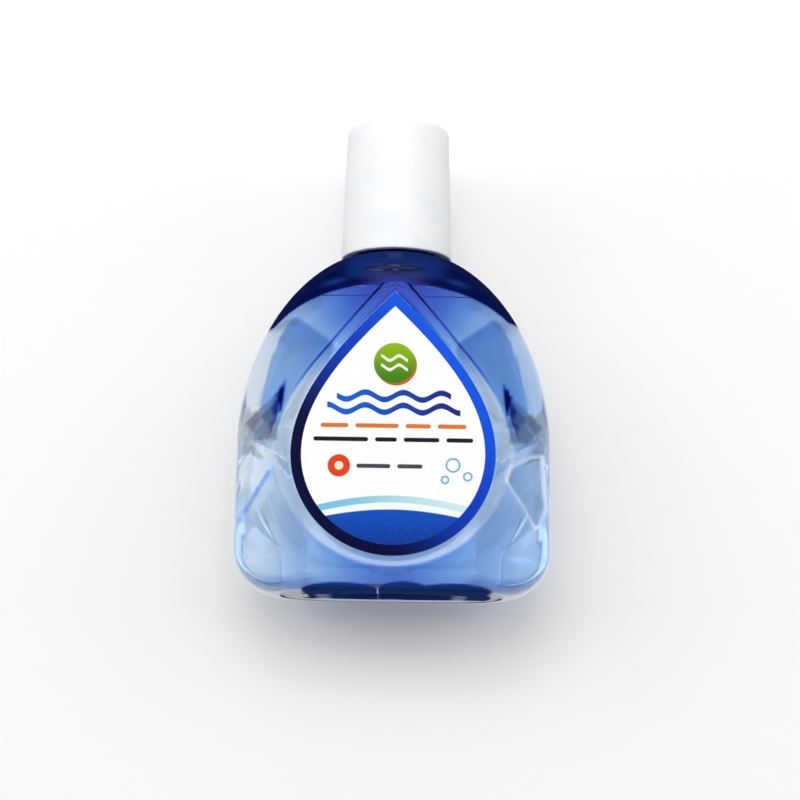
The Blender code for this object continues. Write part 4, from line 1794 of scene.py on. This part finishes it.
@dataclass
class Liquid:
    """The liquid, with a bubble caught behind a facet.

    Attributes:
        form: The form of the body.
        shading: Where the bubble lies, and where light passes straight on.
        skin: Where its surface lies: a little way into the wall, so that no air shows between them.
        column_radius: Radius of the liquid in the neck.
        column_fillet: Filling between that and the shoulder.
        column_step: Step between the rings of it.
        bubble_depth: How deep the bubble is.
        meniscus: Width of the bubble's rounded edge.
        painted_rim_width: Half width of the painted glow in that edge.
        columns: Directions in each quarter, on the broad face and on the narrow side.
        corner_rings: Rings round the lower corner.
        bubble_levels: Where the finer rings at the bubble start and end.
        fine: Step between those rings.
        coarse: Step between the others.
        floor_shares: Sizes of the rings on its foot, as shares of its rim.
        top_shares: Sizes of the rings on its top, as shares of the column.
        finish: The liquid it is made of.
    """

    form: BodyForm = BodyForm()
    shading: Shading = Shading()
    skin: Skin = Skin(0.7 * MM, 1.0 * MM, 1.0 * MM, ())
    column_radius: float = 3.9 * MM
    column_fillet: float = 0.9 * MM
    column_step: float = 1.0 * MM
    bubble_depth: float = 0.09 * MM
    meniscus: float = 0.3 * MM
    painted_rim_width: float = 0.24 * MM
    columns: tuple[int, int] = (84, 26)
    corner_rings: int = 8
    bubble_levels: Span = (7.5 * MM, 18.5 * MM)
    fine: float = 0.2 * MM
    coarse: float = 0.5 * MM
    floor_shares: tuple[float, ...] = (0.1, 0.3, 0.5, 0.7, 0.85)
    top_shares: tuple[float, ...] = (0.98, 0.6, 0.2)
    finish: ClearLiquid = ClearLiquid()

    def surface(self, angles: Array, levels: Array) -> tuple[Array, Array]:
        """Find how far the liquid reaches at every level in every direction, and the bubble's rim.

        Args:
            angles: The directions.
            levels: The heights.

        Returns:
            The distances from the axis, then 1 on the rim and 0 away from it.
        """
        turn, height = np.meshgrid(angles, levels)
        reach = self.form.reach(turn, height, self.skin)
        front = np.sin(turn) < 0
        away = MM * outline_distance(self.shading.bubble.outline, reach * np.cos(turn) / MM, height / MM)
        bubble = self.bubble_depth * rise(-away, (0.0, self.meniscus)) * front
        reach = soft_max(reach - bubble, np.full(reach.shape, self.column_radius), self.column_fillet)
        return reach, bell(away, 0.0, self.painted_rim_width) * front

    def build(self) -> bpy.types.Object:
        """Build the liquid up to the dropper plug.

        Returns:
            The liquid.
        """
        _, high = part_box("liquid_fill")
        angles = ring_columns(*self.columns)
        form, floor = self.form, self.skin.floor
        stops = (form.face_corner, *self.bubble_levels, form.shoulder_top)
        runs = run_levels(stops, (self.coarse, self.fine, self.coarse))
        levels = np.concatenate([corner_levels(floor, form.face_corner, self.corner_rings), *runs])
        reach, rim = self.surface(angles, levels)
        column = np.arange(levels[-1], high.z, self.column_step)[1:]
        rows = [lay_ring(angles, floor, reach[0] * share) for share in self.floor_shares]
        rows += lay_rings(angles, levels, reach)
        rows += [lay_ring(angles, level, self.column_radius) for level in column]
        rows += [lay_ring(angles, high.z, self.column_radius * share) for share in self.top_shares]
        # The bubble's rim carries the painted glow.
        painted_rim_glows = [np.zeros(len(angles))] * len(self.floor_shares) + list(rim)
        painted_rim_glows += [np.zeros(len(angles))] * (len(rows) - len(painted_rim_glows))
        opens = [self.shading.corners(ring) * (1 - rim) for ring, rim in zip(rows, painted_rim_glows)]
        liquid = skin_mesh("liquid", rows, {"rim": painted_rim_glows, "open": opens})
        dress(liquid, self.finish.make())
        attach(liquid, "bottle")
        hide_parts("liquid_fill")
        return liquid


@dataclass
class Cap:
    """The white screw cap.

    Attributes:
        rim_radius: Outer radius at its rim.
        top_radius: Outer radius at its top.
        wall: Thickness of its skirt.
        roof: Thickness of its top.
        edge: Size of the rounding of its top edge.
        lip: Size of the rounding of its rim.
        nib_radius: Radius of the nib under its top, at the shoulder of the nib.
        nib_shoulder: How far under the roof that shoulder is.
        nib_length: How far under the roof the nib's tip is.
        thread: Its inner thread.
        steps: Steps of its turned shape.
        finish: The plastic it is made of.
    """

    rim_radius: float = 6.75 * MM
    top_radius: float = 6.25 * MM
    wall: float = 0.9 * MM
    roof: float = 1.3 * MM
    edge: float = 1.1 * MM
    lip: float = 0.22 * MM
    nib_radius: float = 0.7 * MM
    nib_shoulder: float = 0.65 * MM
    nib_length: float = 1.25 * MM
    thread: Thread = Thread(3.2 * MM, 2.6 * MM, 1.6, 0.45 * MM)
    steps: int = 144
    finish: SatinPlastic = SatinPlastic(
        "white cap plastic", linear(248, 249, 251), linear(242, 245, 248), 0.52, 0.62, 0.25, 0.000006
    )

    def build(self) -> bpy.types.Object:
        """Build the cap inside the box of its CAD node.

        Returns:
            The cap.
        """
        low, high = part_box("cap")
        rim, top = low.z, high.z
        inner_rim = self.rim_radius - self.wall
        roof = top - self.roof
        slope = (self.rim_radius - self.top_radius) / (top - rim)
        tip = roof - self.nib_length
        profile = [
            (0.0, top),
            (self.top_radius, top),
            (self.rim_radius, rim),
            (inner_rim, rim),
            (inner_rim - slope * (roof - rim), roof),
            (2 * self.nib_radius, roof),
            (self.nib_radius, roof - self.nib_shoulder),
            (self.nib_radius / 4, tip),
            (0.0, tip),
        ]
        radii = {1: self.edge, 2: self.lip, 3: self.lip, 4: 2 * self.lip, 5: self.lip, 6: self.lip / 2}
        cap = turned("screw_cap", rounded(profile, radii), self.steps)
        join(cap, self.thread.ridge("cap thread", inner_rim, rim))
        polish(cap)
        dress(cap, self.finish.make())
        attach(cap, "cap")
        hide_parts("cap")
        return cap


@dataclass
class DropperPlug:
    """The soft nozzle in the neck.

    Attributes:
        flange_radius: Radius of the flange on the neck's lip.
        flange: Thickness of that flange.
        skirt_radius: Outer radius of the skirt in the neck's bore.
        wall: Thickness of the skirt and of the nozzle's wall.
        root_radius: Radius of the nozzle where it leaves the flange.
        tip_radius: Its radius at its tip.
        nozzle_height: Its height over the flange.
        orifice_radius: Radius of the drip orifice.
        orifice_length: Length of it.
        cup_radius: Radius of the small cup over the orifice.
        cup_depth: Depth of that cup.
        edge: Size of the rounding of its edges.
        steps: Steps of its turned shape.
        finish: The plastic it is made of.
    """

    flange_radius: float = 4.6 * MM
    flange: float = 0.9 * MM
    skirt_radius: float = 3.65 * MM
    wall: float = 0.8 * MM
    root_radius: float = 2.7 * MM
    tip_radius: float = 1.4 * MM
    nozzle_height: float = 4.8 * MM
    orifice_radius: float = 0.35 * MM
    orifice_length: float = 1.2 * MM
    cup_radius: float = 0.9 * MM
    cup_depth: float = 0.6 * MM
    edge: float = 0.12 * MM
    steps: int = 96
    finish: SatinPlastic = SatinPlastic(
        "natural soft plastic", linear(236, 239, 240), linear(226, 230, 233), 0.32, 0.46, 0.6, 0.000004
    )

    def build(self) -> bpy.types.Object:
        """Build the plug inside the box of its CAD node.

        Returns:
            The plug.
        """
        low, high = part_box("dropper_plug")
        tip, edge = high.z, self.edge
        seat = tip - self.nozzle_height - self.flange
        top = seat + self.flange
        cup = tip - self.cup_depth
        bore = self.skirt_radius - self.wall
        profile = [
            (self.orifice_radius, cup),
            (self.cup_radius, tip),
            (self.tip_radius, tip),
            (self.root_radius, top),
            (self.flange_radius, top),
            (self.flange_radius, seat),
            (self.skirt_radius, seat),
            (self.skirt_radius, low.z),
            (bore, low.z),
            (bore, seat),
            (self.root_radius - self.wall, top + self.wall),
            (self.orifice_radius, cup - self.orifice_length),
            (self.orifice_radius, cup),
        ]
        radii = {2: edge, 3: 4 * edge, 4: edge, 5: edge, 7: edge, 8: edge, 9: 2 * edge, 10: 2 * edge}
        plug = turned("dropper_nozzle", rounded(profile, radii), self.steps)
        polish(plug)
        dress(plug, self.finish.make())
        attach(plug, "bottle")
        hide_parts("dropper_plug")
        return plug


@dataclass
class Label:
    """A drop-shaped label of printed film with a white back.

    Attributes:
        face: The face of the bottle that it is on.
        border: Width of the band round its field.
        border_gloss: Roughness of that band.
        field_gloss: Roughness of the field.
        backing: The film's back, with a painted glow where it is seen through the bottle.
    """

    face: Face
    border: float = 1.22 * MM
    border_gloss: float = 0.24
    field_gloss: float = 0.26
    backing: SatinPlastic = SatinPlastic(
        "label backing", linear(244, 246, 248), linear(236, 239, 243), 0.4, 0.5, 0.0, 0.000003, 0.8
    )

    @property
    def node(self) -> str:
        """The name of its CAD node."""
        return "front_label" if self.face is Face.FRONT else "rear_label"

    def build(self) -> bpy.types.Object:
        """Build the label inside the box of its CAD node: a bordered face, a rim and a back.

        Returns:
            The label.
        """
        low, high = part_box(self.node)
        radius = (high.x - low.x) / 2
        drop = Drop(radius, high.z - low.z - radius, low.z + radius)
        outer_y, back_y = (low.y, high.y) if self.face is Face.FRONT else (high.y, low.y)
        bm = bmesh.new()
        rim = [bm.verts.new((x, outer_y, z)) for x, z in drop.outline()]
        inner = [bm.verts.new((x, outer_y, z)) for x, z in drop.drawn_in(self.border).outline()]
        back = [bm.verts.new((x, back_y, z)) for x, z in drop.outline()]
        count = len(rim)
        for i in range(count):
            j = (i + 1) % count
            bm.faces.new((rim[i], rim[j], inner[j], inner[i]))
            bm.faces.new((back[i], back[j], rim[j], rim[i]))
        bm.faces.new(inner).material_index = 1
        bm.faces.new(back).material_index = 2
        bmesh.ops.recalc_face_normals(bm, faces=bm.faces)
        mesh = bpy.data.meshes.new(f"{self.node}_film")
        bm.to_mesh(mesh)
        bm.free()
        label = placed(f"{self.node}_film", mesh)
        print_of = FrontField if self.face is Face.FRONT else RearField
        field_film = print_of().finish(self.field_gloss)
        dress(label, BlueBorder().finish(self.border_gloss), field_film, self.backing.make())
        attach(label, "bottle")
        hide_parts(self.node)
        return label


@dataclass(frozen=True)
class PalePaper:
    """A pale matt sheet that is seen from its own side only, so that it never hides the bottle.

    Attributes:
        name: The material's name.
        high_colour: Its colour far up.
        low_colour: Its colour at the foot of the bottle.
        levels: Where it turns from the one to the other, in millimetres up.
        fibre_colour: The colour of its fibres.
        glow: How much of it stays white in the shade near the bottle, as all of it does far away.
        glow_reach: Where near ends and far away starts, in millimetres.
        glass_glow: How much of it does so in reflections and through glass.
        unseen_by: Kinds of rays that pass through it.
    """

    name: str
    high_colour: Rgb
    low_colour: Rgb
    levels: Span = (-14.0, 60.0)
    fibre_colour: Rgb = (0.7, 0.7, 0.7)
    glow: float = 0.2
    glow_reach: Span = (150.0, 400.0)
    glass_glow: float = 0.9
    unseen_by: tuple[str, ...] = ("Is Diffuse Ray", "Is Shadow Ray")

    def make(self) -> bpy.types.Material:
        """Build the material.

        Returns:
            The material.
        """
        board = NodeBoard.of(self.name)
        point, _, z = board.place()
        fibres = board.spread(board.noise(point, 0.8, 4.0), 0.3, 0.8, 0.0, 0.02)
        colour = board.mix(board.spread(z, *self.levels), self.low_colour, self.high_colour)
        colour = board.mix(fibres, colour, self.fibre_colour)
        matt = board.principled(Base_Color=colour, Roughness=0.9, Specular_IOR_Level=0.1)
        away = board.add("ShaderNodeVectorMath", point, operation="LENGTH").outputs["Value"]
        glow = board.spread(away, *self.glow_reach, self.glow, 1.0)
        plainly = board.math("MULTIPLY", board.light_path("Is Camera Ray"), glow)
        through = board.light_path("Is Glossy Ray", "Is Transmission Ray")
        glassily = board.math("MULTIPLY", through, self.glass_glow)
        shine = board.add("ShaderNodeEmission", colour)
        lit = board.blend(board.math("MAXIMUM", plainly, glassily), matt, shine)
        back = board.add("ShaderNodeNewGeometry").outputs["Backfacing"]
        unseen = board.math("MAXIMUM", back, board.light_path(*self.unseen_by))
        return board.close(board.blend(unseen, lit, board.clear()))


@dataclass(frozen=True)
class Lamp:
    """A soft oblong lamp.

    Attributes:
        name: Its name.
        place: Where it hangs.
        size: Its width and height.
        watts: Its power.
        mirrored: Whether it is seen, by itself and in glossy surfaces.
    """

    name: str
    place: tuple[float, float, float]
    size: Span
    watts: float
    mirrored: bool = False

    def hang(self, aim: Vector) -> None:
        """Hang it.

        Args:
            aim: The point that it faces.
        """
        light = bpy.data.lights.new(self.name, "AREA")
        light.shape = "RECTANGLE"
        light.size, light.size_y = self.size
        light.energy = self.watts
        obj = placed(self.name, light)
        obj.visible_glossy = self.mirrored
        obj.visible_camera = self.mirrored
        obj.location = self.place
        obj.rotation_euler = (aim - Vector(self.place)).to_track_quat("-Z", "Y").to_euler()


@dataclass
class Studio:
    """The camera, the sheets round the bottle and the lights.

    Attributes:
        distance: Distance from the camera to what it looks at.
        look_at: The point it looks at.
        elevation: Its angle above the horizon, in degrees.
        roll: How far it leans to the left, in degrees.
        view_angle: Its angle of view, in degrees.
        sheet_reach: How far the sheets reach from the axis.
        backdrop_gap: How far behind the bottle the backdrop is.
        floor_gap: How far under the bottle the floor is.
        backdrop: Paper of the backdrop.
        floor: Paper of the floor.
        world_level: Strength of the light from all round.
        world_levels: How bright it is, by the Y part of its direction, from the front to the back.
        below_level: How bright it is below the horizon, as a share of that.
        horizon: Where it gets brighter there, by the Z part of its direction.
        plain_colour: The colour that the camera sees past the sheets.
        lamps: The lamps.
        lamp_aim: The point that they face.
    """

    distance: float = 0.235
    look_at: Vector = field(default_factory=lambda: Vector((0.0007, 0.0, 0.02383)))
    elevation: float = -11.0
    roll: float = 0.88
    view_angle: float = 23.3
    sheet_reach: float = 1.5
    backdrop_gap: float = 0.05 * MM
    floor_gap: float = 0.02 * MM
    backdrop: PalePaper = PalePaper("backdrop paper", linear(250, 250, 250), linear(251, 251, 249))
    floor: PalePaper = PalePaper("floor paper", linear(248, 248, 246), linear(248, 248, 246))
    world_level: float = 1.0
    world_levels: Spans = (
        ((-0.999, 0.25), (-0.66, 0.25), (-0.56, 0.75), (-0.22, 0.75))
        + ((-0.14, 0.3), (0.1, 0.3), (0.3, 1.0), (0.999, 1.0))
    )
    below_level: float = 0.2
    horizon: Span = (-0.25, 0.1)
    plain_colour: Rgb = linear(251, 251, 251)
    lamps: tuple[Lamp, ...] = (
        Lamp("key light", (-0.04, -0.70, 0.40), (0.42, 0.42), 1.53, True),
        Lamp("low light", (-0.06, -0.70, 0.24), (1.5, 0.42), 4.0),
        Lamp("left light", (-0.60, -0.30, 0.20), (0.4, 0.4), 0.95),
        Lamp("right light", (0.60, -0.30, 0.20), (0.4, 0.4), 0.85),
    )
    lamp_aim: Vector = field(default_factory=lambda: Vector((0.0, 0.0, 0.028)))

    def place_camera(self) -> None:
        """Set the camera at the photograph's place."""
        camera = bpy.data.cameras.new("camera")
        camera.sensor_width = 36.0
        camera.lens = camera.sensor_width / 2 / math.tan(math.radians(self.view_angle) / 2)
        camera.clip_start = 0.005
        camera.clip_end = 20.0
        rig = placed("camera", camera)
        tilt = math.radians(self.elevation)
        forward = Vector((0.0, math.cos(tilt), -math.sin(tilt)))
        up = Vector((0.0, math.sin(tilt), math.cos(tilt)))
        right = forward.cross(up)
        lean = math.radians(self.roll)
        across = right * math.cos(lean) + up * math.sin(lean)
        upward = up * math.cos(lean) - right * math.sin(lean)
        turn = Matrix((across, upward, -forward)).transposed().to_4x4()
        turn.translation = self.look_at - forward * self.distance
        rig.matrix_world = turn
        bpy.context.scene.camera = rig

    def sheet(self, name: str, corners: list[tuple[float, float, float]], finish: PalePaper) -> None:
        """Lay a flat sheet.

        Args:
            name: The sheet's name.
            corners: Its corners, counter-clockwise from its own side.
            finish: Its paper.
        """
        mesh = bpy.data.meshes.new(name)
        mesh.from_pydata(corners, [], [(0, 1, 2, 3)])
        obj = placed(name, mesh)
        dress(obj, finish.make())
        obj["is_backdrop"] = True

    def lay_sheets(self) -> None:
        """Lay the floor under the bottle and the backdrop close behind it."""
        _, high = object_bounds()
        far = self.sheet_reach
        square = ((-far, -far), (far, -far), (far, far), (-far, far))
        y, z = high.y + self.backdrop_gap, -self.floor_gap
        self.sheet("backdrop", [(a, y, b) for a, b in square], self.backdrop)
        self.sheet("floor", [(a, b, z) for a, b in square], self.floor)

    def light_up(self) -> None:
        """Set the world and hang the lamps."""
        board = NodeBoard(bpy.data.worlds.new("even light"))
        parts = board.add("ShaderNodeSeparateXYZ", board.add("ShaderNodeTexCoord").outputs["Generated"])
        ramp = board.add("ShaderNodeValToRGB", board.add("ShaderNodeMapRange", parts.outputs[1], -1.0))
        elements = ramp.color_ramp.elements
        for spot, level in self.world_levels:
            elements.new((spot + 1) / 2).color = (level, level, level, 1.0)
        elements.remove(elements[0])
        elements.remove(elements[-1])
        levels = (self.below_level * self.world_level, self.world_level)
        strength = board.add("ShaderNodeMapRange", parts.outputs[2], *self.horizon, *levels)
        light = board.add("ShaderNodeBackground", ramp, strength)
        plain = board.add("ShaderNodeBackground", self.plain_colour)
        bpy.context.scene.world = board.close(board.blend(board.light_path("Is Camera Ray"), light, plain))
        for lamp in self.lamps:
            lamp.hang(self.lamp_aim)

    def build(self) -> None:
        """Build the whole studio."""
        self.place_camera()
        self.lay_sheets()
        self.light_up()
        view = bpy.context.scene.view_settings
        view.view_transform = "Standard"


def main() -> None:
    """Build the dressed bottle and its studio."""
    logging.basicConfig(level=logging.INFO, format="%(name)s: %(message)s")
    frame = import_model()
    LOG.info("frame with %d nodes", len(frame["nodes"]))
    pieces = [
        Shell().build(),
        Liquid().build(),
        DropperPlug().build(),
        Cap().build(),
        Label(Face.FRONT).build(),
        Label(Face.REAR).build(),
    ]
    for piece in pieces:
        LOG.info("%s: %d faces", piece.name, len(piece.data.polygons))
    Studio().build()


if __name__ == "__main__":
    main()
